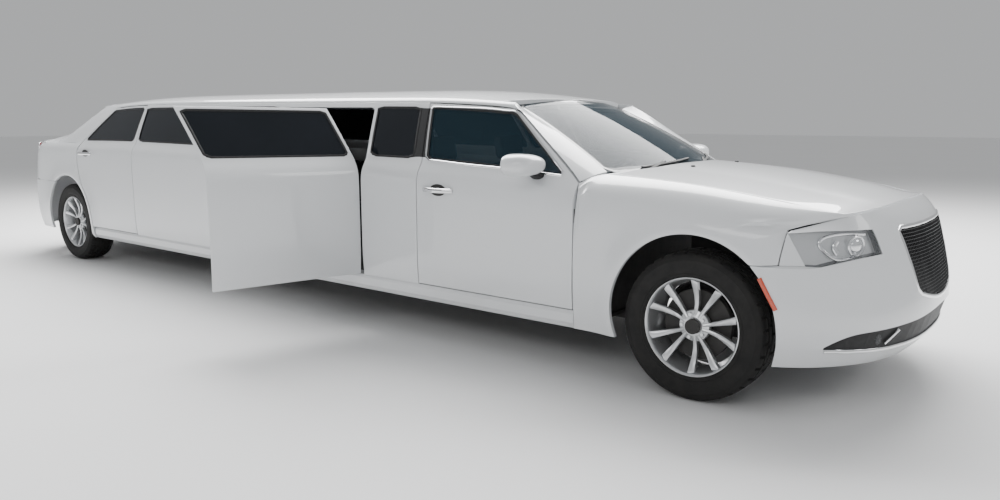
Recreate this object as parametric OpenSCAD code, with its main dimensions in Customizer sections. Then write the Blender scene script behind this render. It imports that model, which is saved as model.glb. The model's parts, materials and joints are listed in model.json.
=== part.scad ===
// Stretch limousine: body panels, five doors, running gear and cabin.
// +X points forward, +Y to the left and +Z up. The floor is z = 0, and the
// origin lies on the centreline, halfway between the axles.

/* [Overall] */
// Distance between the axles
wheelbase = 6250; // [5600:10:7500]
// Nose in front of the front axle
front_overhang = 890; // [860:5:930]
// Tail behind the rear axle
rear_overhang = 1106; // [1060:5:1150]
// Half of the width over the plain side, without the arch flares
half_width = 940; // [900:2:1130]
// Height of the roof skin at its highest point
roof_height = 1522; // [1490:2:1560]

/* [Wheels] */
// Outer radius of a tyre
tyre_radius = 358; // [340:1:360]
// Width of a tyre
tyre_width = 235; // [195:1:240]
// Radius of the rim at its lip
rim_radius = 242; // [225:1:245]
// Flattening of a tyre where it stands
tyre_squash = 1.5; // [1:0.1:3]
// Distance from the centreline to the middle of a tyre
half_track = 802; // [790:1:805]
// Distance from the middle of a tyre to its steering axis
kingpin_offset = 40; // [0:1:60]
// Radius of the wheel arches
arch_radius = 412; // [400:1:420]

/* [Doors] */
// Front cut of the front door, behind the front axle
front_door_start = 640; // [620:5:680]
// Length of a front door
front_door_length = 1090; // [1000:5:1150]
// Front cut of the extra door, behind the front axle
fifth_door_start = 2213; // [2000:5:2400]
// Length of the extra door
fifth_door_length = 934; // [780:2:1125]
// How far the extra door stands open
fifth_door_open = 76; // [0:1:80]
// Front cut of the rear door, ahead of the rear axle
rear_door_start = 1210; // [1150:5:1300]
// Gap between two panels
shut_gap = 6; // [5:0.5:8]
// Narrowing of a door's inner side at its swinging edge
door_taper = 22; // [20:1:30]
// Wall thickness of a door below the glass
door_wall = 75; // [60:1:90]
// Wall thickness of the window frames
frame_wall = 32; // [26:1:36]
// Width of the window frames
frame_width = 26; // [20:1:32]

/* [Heights] */
// Underside of the sills
sill_bottom = 250; // [230:2:260]
// Bottom edge of the doors
door_bottom = 352; // [340:2:370]
// Top of the cabin floor
floor_top = 290; // [280:2:320]

/* [Materials] */
// Thickness of a glass pane
glass_wall = 5; // [4:0.5:6]
// Clearance round a seated piece
seat_gap = 0.3; // [0.2:0.05:0.5]
// Thickness of a bumper, fender, hood or lid
skin_wall = 22; // [16:1:30]

/* [Hidden] */

xf = wheelbase / 2;
xr = -wheelbase / 2;
axle_z = tyre_radius - tyre_squash;
arch_z = axle_z + 33;
kingpin_y = half_track - kingpin_offset;
white = [0.93, 0.94, 0.95];
privacy = [0.05, 0.06, 0.07];
dark = [0.12, 0.12, 0.13];
silver = [0.72, 0.73, 0.75];
trim_black = [0.04, 0.04, 0.045];

// ---- curves ----
function mix(a, b, t) = a + (b - a) * t;
function clamp(v, lo, hi) = min(max(v, lo), hi);
function smooth(t) = let (c = clamp(t, 0, 1)) c * c * (3 - 2 * c);
function find(p, x, i = 0) = (i >= len(p) - 2 || x < p[i + 1][0]) ? i : find(p, x, i + 1);
function lean(p, i) =
    let (a = p[max(i - 1, 0)], b = p[min(i + 1, len(p) - 1)])
    (b[1] - a[1]) / (b[0] - a[0]);
// Smooth curve through [x, value] pairs that rise in x
function curve(p, x) =
    let (c = clamp(x, p[0][0], p[len(p) - 1][0]), i = find(p, c), h = p[i + 1][0] - p[i][0],
        t = (c - p[i][0]) / h, m0 = lean(p, i) * h, m1 = lean(p, i + 1) * h)
    (2 * t * t * t - 3 * t * t + 1) * p[i][1] + (t * t * t - 2 * t * t + t) * m0
    + (3 * t * t - 2 * t * t * t) * p[i + 1][1] + (t * t * t - t * t) * m1;
// Straight run through [x, value] pairs
function run(p, x) =
    let (c = clamp(x, p[0][0], p[len(p) - 1][0]), i = find(p, c))
    mix(p[i][1], p[i + 1][1], (c - p[i][0]) / (p[i + 1][0] - p[i][0]));
// Point at the share t of the way along a list of points
function along(p, t) =
    let (n = (len(p) - 1) * clamp(t, 0, 1), i = min(floor(n), len(p) - 2))
    mix(p[i], p[i + 1], n - i);

// ---- body lines ----
belt_line = [[xr - 900, 1090], [xr, 1101], [xr + 1210, 1107], [xf - 2213, 1068], [xf - 1730, 1062],
    [xf - 1200, 1040], [xf - 640, 997]];
function belt(x) = curve(belt_line, x);
roof_line = [[xr - 200, roof_height - 92], [xr + 300, roof_height - 32], [xr + 1000, roof_height - 2],
    [xf - 3900, roof_height], [xf - 1840, roof_height - 16], [xf - 1400, roof_height - 52],
    [xf - 1150, roof_height - 92]];
function roof_mid(x) = curve(roof_line, x);
// Top edge of the window frames
frame_line = [[xr + 330, roof_height - 130], [xr + 600, roof_height - 114], [xr + 1000, roof_height - 96],
    [xf - 3900, roof_height - 96], [xf - 1900, roof_height - 112], [xf - 1400, roof_height - 132],
    [xf - 1230, roof_height - 147]];
function frame_top(x) = curve(frame_line, x);
// Edge of the hood and of the cowl
hood_edge_y = [[xf - 640, 745], [xf, 762], [xf + 400, 735], [xf + 605, 662]];
hood_edge_z = [[xf - 640, 1045], [xf - 300, 1027], [xf, 1003], [xf + 400, 945], [xf + 605, 908]];
function shoulder_top(x) = x > xf - front_door_start ? curve(hood_edge_z, x) : belt(x) + 48;
function shoulder_in(x) = x > xf - front_door_start ? half_width - 940 + curve(hood_edge_y, x)
    : half_width - 195;
function shoulder_depth(x) = 145 + 25 * smooth((x - xf + front_door_start) / 600);
// Nose and tail, as distances past each axle at a height
nose_line = [[240, 800], [300, 850], [400, 885], [450, 890], [530, 878], [650, 853], [750, 830],
    [835, 805], [900, 762], [945, 706]];
tail_line = [[240, 1040], [330, 1085], [470, 1106], [640, 1104], [730, 1092], [760, 1076], [900, 1048],
    [1020, 1010], [1085, 975], [1110, 950]];
function nose(z) = xf + curve(nose_line, z) + front_overhang - 890;
function tail(z) = xr - curve(tail_line, z) - rear_overhang + 1106;
nose_depth = 530;
tail_depth = 440;
// Share of the full width that is left at a distance from the nose or tail
function sweep_share(d, depth) = d >= depth ? 1 : pow(1 - pow(1 - clamp(d, 0, depth) / depth, 1.6), 1 / 2.6);
// Distance from the nose or tail where a share of the full width is reached
function sweep_back(share, depth) = depth * (1 - pow(1 - pow(clamp(share, 0, 1), 2.6), 1 / 1.6));
function tuck(z) = z < 520 ? 24 * pow((520 - z) / 270, 2) : 0;
function arch_bulge(x, z, ax) = let (r = norm([x - ax,
    z - arch_z]) - arch_radius - 22) 17 * exp(-r * r / 3200);
function plain_half(x, z) = half_width - tuck(z) + arch_bulge(x, z, xf) + arch_bulge(x, z, xr);
function swept_half(x, z) =
    plain_half(x, z) * sweep_share(nose(z) - x, nose_depth) * sweep_share(x - tail(z), tail_depth);
function shoulder(x, z) =
    let (top = shoulder_top(x), d = shoulder_depth(x), s = clamp((z - top + d) / d, 0, 1),
        inner = shoulder_in(x),
        y = swept_half(x, z))
    s <= 0 ? y : min(inner, y) + max(y - inner, 0) * sqrt(max(1 - s * s, 0));
// Outer side of the body at x and z, above the belt as the glass leans in
function side(x, z) =
    x > xf - front_door_start || z <= belt(x) ? shoulder(x, z)
    : let (h = z - belt(x)) shoulder(x, belt(x)) - 0.5 * h - 0.00018 * h * h;

// ---- shells ----
function sum_list(v, i = 0, t = 0) = i == len(v) ? t : sum_list(v, i + 1, t + v[i]);
// Closed wall from an outer and an inner grid of points. keep(i, j) is a table of the cells that stay.
module wall(outer, inner, keep) {
    n = len(outer);
    m = len(outer[0]);
    base = n * m;
    function at(i, j) = i * m + j;
    function kept(i, j) = i >= 0 && j >= 0 && i < n - 1 && j < m - 1 && keep[i][j];
    cells = [for (i = [0:n - 2]) for (j = [0:m - 2]) if (keep[i][j]) [i, j]];
    function quad(a, b, c, d) = [[a, b, c], [a, c, d]];
    faces = [for (c = cells) let (i = c[0], j = c[1],
            a = at(i, j), b = at(i + 1, j), d = at(i, j + 1), e = at(i + 1, j + 1))
        each concat(quad(a, b, e, d), quad(base + a, base + d, base + e, base + b),
            kept(i, j - 1) ? [] : quad(a, base + a, base + b, b),
            kept(i, j + 1) ? [] : quad(d, e, base + e, base + d),
            kept(i - 1, j) ? [] : quad(a, d, base + d, base + a),
            kept(i + 1, j) ? [] : quad(b, base + b, base + e, e))];
    all_points = concat([for (r = outer) each r], [for (r = inner) each r]);
    // Six times the volume, with the sign that faces turned outwards make negative
    size = sum_list([for (f = faces) all_points[f[0]] * cross(all_points[f[1]], all_points[f[2]])]);
    polyhedron(all_points, size < 0 ? faces : [for (f = faces) [f[0], f[2], f[1]]], convexity = 8);
}
function all_cells(g) = [for (i = [0:len(g) - 2]) [for (j = [0:len(g[0]) - 2]) true]];
// Shares from 0 to 1 with a fixed first and last step
function steps(n, first = 0, last = 0) =
    concat(first > 0 ? [0] : [], [for (i = [0:n]) mix(first, 1 - last, i / n)], last > 0 ? [1] : []);
// Left or right copy
module on_side(s) {
    if (s > 0) children();
    else mirror([0, 1, 0]) children();
}

// ---- side panels and doors ----
// x of a cut that is upright below the belt and leans back above it
cut_lean = 0.3;
function cut_x(x, z) = x - cut_lean * max(z - belt(x), 0);
low_rows = [0, 0.08, 0.16, 0.25, 0.33, 0.42, 0.5, 0.58, 0.65, 0.72, 0.83, 0.92, 1];
high_rows = [0.07, 0.3, 0.55, 0.8, 0.93, 1];
// Grid of [x, z] pairs. front(z) and rear(z) come as lists of [z, x]; tops come from top_z
function panel_xz(cols, front, rear, top_drop = 0, bottom = door_bottom) =
    [for (t = cols) concat(
        [for (r = low_rows) let (x0 = mix(run(rear, 400), run(front, 400), t), z0 = mix(bottom, belt(x0), r))
            [mix(run(rear, z0), run(front, z0), t), z0]],
        [for (r = high_rows)
            let (xb = mix(run(rear, 1070), run(front, 1070), t), zg = mix(belt(xb),
                frame_top(xb) - top_drop, r),
                x1 = mix(run(rear, zg), run(front, zg), t), z1 = mix(belt(x1), frame_top(x1) - top_drop, r))
            [mix(run(rear, z1), run(front, z1), t), z1]])];
belt_row = len(low_rows) - 1;
function depth_at(j) =
    j < belt_row - 1 ? door_wall : j < belt_row + 1 ? mix(door_wall, frame_wall, 0.6) : frame_wall;
function skin(g, cut = 0) = [for (c = g) [for (p = c) [p[0], side(p[0], p[1]) - cut, p[1]]]];
// Inner grid, narrowed at its first column by taper_rear
function lining(g, taper_rear = 0) =
    [for (i = [0:len(g) - 1]) [for (j = [0:len(g[0]) - 1]) let (p = g[i][j])
        [p[0] + (i == 0 ? taper_rear : 0), side(p[0], p[1]) - depth_at(j), p[1]]]];
// Sub-grid that fills a window, with a clearance
function pane(g, i0, i1, cut) =
    let (j0 = belt_row + 1, j1 = len(g[0]) - 2)
    [for (i = [i0:i1]) [for (j = [j0:j1])
        let (dx = i == i0 ? seat_gap : i == i1 ? -seat_gap : 0, dz = j == j0 ? seat_gap : j == j1
            ? -seat_gap : 0,
            p = g[i][j] + [dx, dz])
        [p[0], side(p[0], p[1]) - cut, p[1]]]];
module glass_pane(g, i0, i1) {
    o = pane(g, i0, i1, 4);
    wall(o, pane(g, i0, i1, 4 + glass_wall), all_cells(o));
}
function window_cells(g, holes) =
    [for (i = [0:len(g) - 2]) [for (j = [0:len(g[0]) - 2])
        !(j > belt_row && j < len(g[0]) - 2 && len([for (h = holes) if (i >= h[0] && i < h[1]) 1]) > 0)]];

// Front door: its front edge follows the windscreen pillar above the belt
fd_front = xf - front_door_start;
fd_rear = fd_front - front_door_length;
fd_front_edge = [[0, fd_front], [belt(fd_front), fd_front], [belt(fd_front) + 60, fd_front - 70],
    [roof_height - 168, fd_front - 500], [roof_height - 100, fd_front - 720]];
fd_rear_edge = [[0, fd_rear + shut_gap], [belt(fd_rear), fd_rear + shut_gap],
    [belt(fd_rear) + 400, fd_rear + shut_gap - 400 * cut_lean]];
fd_cols = steps(9, 0.04, 0.05);
fd_grid = panel_xz(fd_cols, fd_front_edge, fd_rear_edge);
fd_window = [1, len(fd_cols) - 2];
module front_door(s) {
    color(white)
    on_side(s) wall(skin(fd_grid), lining(fd_grid, door_taper), window_cells(fd_grid, [fd_window]));
}
module front_door_glass(s) {
    color(privacy) on_side(s) glass_pane(fd_grid, fd_window[0], fd_window[1]);
}

// Rear door: its rear edge runs round the wheel arch and then up the rear pillar
rd_front = xr + rear_door_start;
rd_front_edge = [[0, rd_front], [belt(rd_front), rd_front], [belt(rd_front) + 400,
    rd_front - 400 * cut_lean]];
arch_edge = arch_radius + 42;
rd_rear_edge = concat([for (a = [-12:6:48]) [arch_z + arch_edge * sin(a), xr + arch_edge * cos(a)]],
    [[830, xr + 250], [900, xr + 228], [1000, xr + 222], [1101, xr + 250], [roof_height - 112, xr + 610]]);
rd_cols = steps(8, 0.04, 0.05);
rd_grid = panel_xz(rd_cols, rd_front_edge, rd_rear_edge);
rd_window = [1, len(rd_cols) - 2];
module rear_door(s) {
    color(white)
    on_side(s) wall(skin(rd_grid), lining(rd_grid, door_taper), window_cells(rd_grid, [rd_window]));
}
module rear_door_glass(s) {
    color(privacy) on_side(s) glass_pane(rd_grid, rd_window[0], rd_window[1]);
}

// Extra door on the right side, drawn shut and then swung open about its front edge
xd_front = xf - fifth_door_start;
xd_rear = xd_front - fifth_door_length;
xd_front_edge = [[0, xd_front], [belt(xd_front), xd_front], [belt(xd_front) + 400,
    xd_front - 400 * cut_lean]];
xd_rear_edge = [[0, xd_rear], [belt(xd_rear), xd_rear], [belt(xd_rear) + 400, xd_rear - 400 * cut_lean]];
header_drop = 26;
bay_gap = shut_gap + 2;
xd_cols = steps(7, 0.03, 0.03);
xd_grid = panel_xz(xd_cols, xd_front_edge, xd_rear_edge, header_drop + bay_gap);
xd_window = [1, len(xd_cols) - 2];
hinge_out = 3;
function hinge_y(x) = side(x, 620) + hinge_out;
module swing_open() {
    translate([xd_front, -hinge_y(xd_front), 0])
    rotate([0, 0, fifth_door_open])
    translate([-xd_front, hinge_y(xd_front), 0])
    children();
}
module fifth_door() {
    color(white)
    swing_open() on_side(-1)
    wall(skin(xd_grid), lining(xd_grid, door_taper), window_cells(xd_grid, [xd_window]));
}
module fifth_door_glass() {
    color(privacy) swing_open() on_side(-1) glass_pane(xd_grid, xd_window[0], xd_window[1]);
}

// Side panel of the stretch. The right one has the aperture of the extra door.
sp_front = fd_rear;
sp_rear = rd_front + shut_gap + seat_gap;
sp_front_edge = [[0, sp_front], [belt(sp_front), sp_front], [belt(sp_front) + 400,
    sp_front - 400 * cut_lean]];
sp_rear_edge = [[0, sp_rear], [belt(sp_rear), sp_rear], [belt(sp_rear) + 400, sp_rear - 400 * cut_lean]];
sp_length = sp_front - sp_rear;
function sp_share(x) = (x - sp_rear) / sp_length;
bay_rear = xd_rear - bay_gap;
bay_front = xd_front + bay_gap;
pillar = 34;
sp_marks = [0, sp_share(sp_rear + frame_width), sp_share(sp_rear + 320), sp_share(sp_rear + 640),
    sp_share(mix(sp_rear, bay_rear, 0.5)), sp_share(bay_rear - 640), sp_share(bay_rear - 320),
    sp_share(bay_rear - frame_width), sp_share(bay_rear), sp_share(mix(bay_rear, bay_front, 0.33)),
    sp_share(mix(bay_rear, bay_front, 0.66)), sp_share(bay_front), sp_share(bay_front + pillar),
    sp_share(mix(bay_front, sp_front, 0.5)), sp_share(sp_front - frame_width - 40), 1];
// Gaps under the roof rail and over the sill
rail_gap = 1.1 * shut_gap;
sill_top = door_bottom - shut_gap - 2;
sp_grid = panel_xz(sp_marks, sp_front_edge, sp_rear_edge, 2 * seat_gap - rail_gap, sill_top + seat_gap);
// The header's lower row runs above the extra door
sp_trim = [for (i = [0:len(sp_grid) - 1]) [for (j = [0:len(sp_grid[0]) - 1])
    j == len(sp_grid[0]) - 2 ? [sp_grid[i][j][0], frame_top(sp_grid[i][j][0]) - header_drop]
        : sp_grid[i][j]]];
sp_rear_window = [1, 7];
sp_front_window = [12, 14];
sp_door = [8, 11];
module side_panel(s) {
    cells = window_cells(sp_trim,
        s > 0 ? [sp_rear_window, sp_door, sp_front_window] : [sp_rear_window, sp_front_window]);
    color(white)
    on_side(s) wall(skin(sp_trim), lining(sp_trim),
        s > 0 ? cells : [for (i = [0:len(cells) - 1]) [for (j = [0:len(cells[0]) - 1])
            cells[i][j] && !(i >= sp_door[0] && i < sp_door[1] && j < len(cells[0]) - 1)]]);
}
module side_glass(s) {
    color(privacy) on_side(s) {
        glass_pane(sp_trim, sp_rear_window[0], sp_rear_window[1]);
        glass_pane(sp_trim, sp_front_window[0], sp_front_window[1]);
        if (s > 0) glass_pane(sp_trim, sp_door[0], sp_door[1]);
    }
}

// ---- front fender ----
fender_start = 200;
fender_end = 47;
function arch_point(ax, a, r = arch_radius) = [ax + r * cos(a), arch_z + r * sin(a)];
hood_corner = xf + 605;
lamp_top = [xf + 413, 850];
lamp_low = [xf + 395, 700];
fender_rim = concat(
    [for (t = [0:0.25:1]) [fd_front + shut_gap, mix(sill_bottom, belt(fd_front) - 2, t)]],
    [for (x = [fd_front + 40, fd_front + 90]) [x, curve(hood_edge_z, x) - (x < fd_front + 60 ? 12 : 0)]],
    [for (t = [0.12:0.08:1.001]) let (x = mix(fd_front, hood_corner, t)) [x, curve(hood_edge_z, x)]],
    [for (t = [0.25:0.25:1]) mix([hood_corner, curve(hood_edge_z, hood_corner)], lamp_top, t)],
    [for (t = [0.5, 1]) mix(lamp_top, lamp_low, t)]);
fender_cols = len(fender_rim) - 1;
fender_rows = [0, 0.05, 0.13, 0.27, 0.43, 0.6, 0.76, 0.88, 0.96, 1];
function fender_xz() = [for (i = [0:fender_cols])
    let (a = arch_point(xf, mix(fender_start, fender_end, i / fender_cols)))
    [for (r = fender_rows) mix(a, fender_rim[i], r)]];
// A fender's inner grid lies under its outer one, along the surface's own direction
function under(g, w) = [for (c = g) [for (p = c) let (y = side(p[0], p[1]),
    flat = clamp((p[1] - shoulder_top(p[0]) + 60) / 60, 0, 1)) [p[0], y - w * (1 - 0.8 * flat),
        p[1] - w * flat]]];
module front_fender(s) {
    g = fender_xz();
    o = skin(g);
    color(white) on_side(s) wall(o, under(g, skin_wall), all_cells(o));
}

// ---- hood ----
hood_crown = 42;
hood_gap = 10.5;
function hood_y(x) = half_width - 940 + curve(hood_edge_y, x) - hood_gap;
function hood_rib(y) = 7 * smooth((400 - abs(y)) / 70);
function hood_front(y) = nose(fascia_top(abs(y))) - sweep_back(abs(y) / half_width,
    nose_depth) - 2.2 * shut_gap;
function hood_rear(y) = xf - 385 - 170 * pow(abs(y) / 745, 2);
function hood_z(x, y) =
    let (e = curve(hood_edge_z, x), w = half_width - 940 + curve(hood_edge_y, x), k = clamp(abs(y) / w,
        0, 1))
    e + hood_crown * (1 - pow(k, 2.2)) * clamp(1 - pow(max(x - xf - 380, 0) / 560, 2), 0, 1) + hood_rib(y);
hood_u = [-1, -0.94, -0.83, -0.68, -0.56, -0.5, -0.3, 0, 0.3, 0.5, 0.56, 0.68, 0.83, 0.94, 1];
hood_v = [0, 0.03, 0.12, 0.26, 0.42, 0.58, 0.72, 0.84, 0.92, 0.97, 1];
function hood_grid(drop) = [for (v = hood_v) [for (u = hood_u)
    let (y0 = u * 662, x = mix(hood_rear(u * 745), hood_front(y0), v), y = u * hood_y(x),
        lip = smooth((v - 0.84) / 0.16))
    [x, y, mix(hood_z(x, y), fascia_top(abs(y)) + 3, lip) - drop]]];
module hood() {
    o = hood_grid(0);
    color(white) wall(o, hood_grid(skin_wall), all_cells(o));
}

// ---- nose ----
// Wrap-round grid: u runs from the centreline (0) to the arch edge (1), and v from the bottom up
fascia_u = [0, 0.14, 0.26, 0.36, 0.42, 0.5, 0.56, 0.62, 0.7, 0.78, 0.86, 0.94, 1];
nose_top = 938;
fascia_z = [240, 275, 320, 445, 460, 480, 500, 600, 650, 688, 697, 742, 790, 840, 885, nose_top];
last_row = len(fascia_z) - 1;
mid_end = 0.42;
mid_y = 520;
// Columns and rows where the openings begin or end
intake_u = 9;
intake_row = 2;
grille_u = 3;
grille_rows = [6, 13];
lamp_u = 5;
lamp_row = 10;
lamp_head = 845;
grille_taper = 0.21;
corner_y = 662;
// Upper edge of the nose at a distance from the centreline
function fascia_top(y) =
    y < corner_y ? nose_top - 30 * pow(y / corner_y, 2) : nose_top - 30 - 64 * smooth((y - corner_y) / 240);
// Edges of the openings at u
function intake_low(u) = 320 + 14 * smooth((u - 0.5) / 0.28);
function intake_high(u) = u < 0.7 ? 445 - 43 * pow(u / 0.7, 1.5)
    : mix(402, 346, clamp((u - 0.7) / 0.08, 0, 1));
function grille_low(u) = 478 + 62 * pow(min(u, 0.36) / 0.36, 2);
function lamp_edge(u) =
    run([[0.42, 700], [0.5, 738], [0.6, 729], [0.7, 712], [0.78, 694], [0.86, 698], [1, 697]], u);
function side_start(z) = let (dz = z - arch_z, r = arch_radius) abs(dz) < r
    ? xf + sqrt(r * r - dz * dz) : xf;
function fascia_end(z) =
    z < 690 ? max(side_start(z), xf + 250) : xf + 401.9 + 18 * clamp((z - 716) / 134, 0, 1);
// Share of the width at the end of the wrap, and the point at a share along it
function fascia_point(u, z, w) =
    let (x_end = fascia_end(z), full = plain_half(x_end, z), share_end = sweep_share(nose(z) - x_end,
        nose_depth),
        lamp_y = mid_y * (1 - grille_taper * clamp((840 - z) / 320, 0, 1)),
        a = u < mid_end ? u * lamp_y / mid_end / full : mix(lamp_y / full, share_end, spread(u)),
        x = u > 0.99 ? x_end : max(nose(z) - sweep_back(a, nose_depth), x_end), top = smooth((z - 850) / 80))
    [x - w * nx(u) * (1 - 0.8 * top), min(a, share_end) * full - w * ny(u) * (1 - 0.6 * top), z - w * top];
function spread(u) = let (t = (u - mid_end) / (1 - mid_end)) 1 - pow(max(1 - t, 0), 1.7);
function nx(u) = cos(90 * pow(u, 1.4));
function ny(u) = sin(90 * pow(u, 1.4));
function wrap_y(u) = u < mid_end ? u / mid_end * mid_y : mix(mid_y, 900, spread(u));
// Height of row j at u: the rows round each opening follow its edges
function fascia_row(u, j) =
    let (top = fascia_top(wrap_y(u)), lamp_rows = last_row - 1 - lamp_row)
    j == last_row ? top : j == intake_row ? intake_low(u)
    : j > intake_row && j <= grille_rows[0]
        ? mix(intake_high(u), grille_low(u), (j - intake_row - 1) / (grille_rows[0] - intake_row - 1))
    : j < lamp_row || u < mid_end + 0.01 ? fascia_z[j]
    : mix(lamp_edge(u), min(lamp_head, top - 8), (j - lamp_row) / lamp_rows);
// The top row runs below the fender's edge once it is past the hood's corner
corner_share = (corner_y - mid_y) / (900 - mid_y);
function rim_point(u, w) =
    let (t = clamp((spread(u) - corner_share) / (1 - corner_share), 0, 1), x = xf + mix(611, 423, t),
        z = mix(904, 846, t))
    [x, side(x, z + 4) - 0.3 * w, z - w];
function nose_point(u, j, w, lift) =
    j == last_row && wrap_y(u) > corner_y ? rim_point(u, w) : fascia_point(u, fascia_row(u, j) + lift, w);
// Grid over columns us and rows js; trim moves its first and last row inwards
function nose_grid(us, js, w, trim = 0) = [for (u = us) [for (j = js)
    let (lift = j == js[0] ? trim : j == js[len(js) - 1] ? -trim : 0, p = nose_point(abs(u), j, w, lift))
    [p[0], sign(u) * p[1], p[2]]]];
function mirrored(list) = concat([for (i = [len(list) - 1:-1:1]) -list[i]], list);
function within(v, lo, hi) = v >= lo && v < hi;
module front_bumper() {
    js = [for (j = [0:last_row]) j];
    o = nose_grid(mirrored(fascia_u), js, 0);
    mid = len(fascia_u) - 1;
    keep = [for (i = [0:len(o) - 2]) [for (j = [0:last_row - 1])
        let (k = i < mid ? mid - 1 - i : i - mid)
        !(k >= lamp_u && within(j, lamp_row, last_row - 1))
        && !(k < grille_u && within(j, grille_rows[0], grille_rows[1]))
        && !(k < intake_u && j == intake_row)]];
    color(white) wall(o, nose_grid(mirrored(fascia_u), js, skin_wall), keep);
}
// Panel that fills an opening as far out as column k
module nose_panel(k, js, w) {
    us = mirrored([for (i = [0:k]) fascia_u[i] * 0.998]);
    o = nose_grid(us, js, w, seat_gap);
    wall(o, nose_grid(us, js, skin_wall, seat_gap), all_cells(o));
}
module grille() {
    color(trim_black) {
        nose_panel(grille_u, [for (j = [grille_rows[0]:grille_rows[1]]) j], 8);
        nose_panel(intake_u, [intake_row, intake_row + 1], 10);
    }
}
lamp_depth = 40;
module headlights() {
    us = [for (i = [lamp_u:len(fascia_u) - 1]) fascia_u[i] + (i == lamp_u ? 0.006 : 0)];
    front = nose_grid(us, [for (j = [lamp_row:last_row - 1]) j], 0, 1.2);
    back = [for (i = [0:len(us) - 1]) [for (p = front[i]) p - lamp_depth * [nx(us[i]), ny(us[i]) * 0.4, 0]]];
    color(silver) for (s = [-1, 1]) on_side(s) wall(front, back, all_cells(front));
}

// ---- windscreen, roof and rear window ----
ws_base = [xf - 425, 687, 1052];
ws_top = [xf - 1180, 560, roof_height - 92];
rw_base = [xr - 585, 640, 1118];
rw_top = [xr + 272, 545, roof_height - 36];
// Cross bar of a screen at share u of its half width and v of its height
function screen_point(base, top, u, v, bow, swell, drop) =
    let (y = mix(base[1], top[1], v) * u, k = u * u)
    [mix(base[0], top[0], v) - mix(bow, bow * 0.55, v) * k, y,
        mix(base[2], top[2], v) + swell * 4 * v * (1 - v) - mix(6, 34, v) * k - drop];
screen_u = [-1, -0.8, -0.6, -0.3, 0, 0.3, 0.6, 0.8, 1];
screen_v = [0, 0.15, 0.35, 0.6, 0.8, 1];
function screen_grid(base, top, bow, swell, drop) =
    [for (v = screen_v) [for (u = screen_u) screen_point(base, top, u, v, bow, swell, drop)]];
module windscreen() {
    o = screen_grid(ws_base, ws_top, 170, 16, 0);
    color(privacy) wall(screen_grid(ws_base, ws_top, 170, 16, glass_wall), o, all_cells(o));
}
module rear_window() {
    o = screen_grid(rw_base, rw_top, -60, 18, 0);
    color(privacy) wall(o, screen_grid(rw_base, rw_top, -60, 18, glass_wall), all_cells(o));
}
rail_in = 40;
function rail_y(x) = side(x, frame_top(x)) - rail_in;
function rail_z(x) = frame_top(x) + 34;
roof_edge = 660;
function roof_x(u, v) = let (front = pow(u * roof_edge / ws_top[1], 2),
    rear = pow(u * roof_edge / rw_top[1], 2))
    mix(rw_top[0] + 10 * seat_gap + 33 * rear, ws_top[0] - 5 * seat_gap - 93.5 * front, v);
function roof_half(x) = rail_y(clamp(x, xr + 330, xf - 1230)) - 2;
function roof_point(u, v, drop) =
    let (x = roof_x(u, v), w = roof_half(x), top = roof_mid(x), edge = rail_z(x))
    [x, w * u, mix(top, edge, pow(abs(u), 2.5)) - drop];
roof_u = [-1, -0.95, -0.86, -0.7, -0.45, 0, 0.45, 0.7, 0.86, 0.95, 1];
roof_v = [for (i = [0:18]) smooth(i / 18) * 0.25 + i / 18 * 0.75];
module roof_panel() {
    function g(drop) = [for (v = roof_v) [for (u = roof_u) roof_point(u, v, drop)]];
    o = g(0);
    color(white) wall(o, g(28), all_cells(o));
}
// Pillar and rail: from the cowl corner up beside the windscreen and back above the doors
rail_xs = [for (i = [0:26]) mix(xr + 612, xf - 1204, i / 26)];
pillar_vs = [0, 0.12, 0.3, 0.5, 0.7, 0.88, 0.95];
function rail_section(x) = let (z = frame_top(x) + rail_gap, y = side(x, z))
    [[x, y - 1, z], [x, y - 10, z + 16], [x, rail_y(x), rail_z(x)]];
function pillar_section(v) =
    let (s = screen_point(ws_base, ws_top, 1, v, 170, 16, 0),
        z = mix(belt(fd_front) + 8, frame_top(xf - 1230) + shut_gap, v),
        x = run(fd_front_edge, z - 6) + 8, q = [x, side(min(x, fd_front - 1), z) - 2, z], p = s + [6, 8, 2])
    [q, mix(q, p, 0.5) + [6, 8, 8], p];
rail_inner = [[0, -26, 0], [0, -24, 4], [0, -1, -24]];
pillar_inner = [[0, -26, 0], [0, -18, -12], [0, -4, -22]];
function rail_grid(w) = concat([for (v = pillar_vs) pillar_section(v) + w * pillar_inner],
    [for (i = [len(rail_xs) - 1:-1:0]) rail_section(rail_xs[i]) + w * rail_inner]);
module roof_rails() {
    color(white) for (s = [-1, 1]) on_side(s) wall(rail_grid(1), rail_grid(0), all_cells(rail_grid(0)));
}

// ---- tail ----
quarter_start = -14;
lamp_outer = 0.93;
lamp_inner = 0.708;
bumper_top = 728;
quarter_end = 123.4;
deck_y = 655;
slant_gap = 1.5 * shut_gap;
quarter_rim = concat([[run(rd_rear_edge, door_bottom) - slant_gap, sill_bottom]],
    [for (j = [0:belt_row]) rd_grid[0][j] - [slant_gap, 0]],
    [for (t = [0.14:0.14:1.001]) mix([rd_grid[0][belt_row][0] - slant_gap, 1101], [xr - 640, 1092], t)],
    [for (z = [1088, 1060, 1000, 900, 820, 745]) [tail(z) + sweep_back(lamp_outer + 0.0014, tail_depth), z]],
    [[xr - 600, bumper_top + seat_gap], [xr - 420, bumper_top + seat_gap]]);
quarter_cols = len(quarter_rim) - 1;
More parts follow.
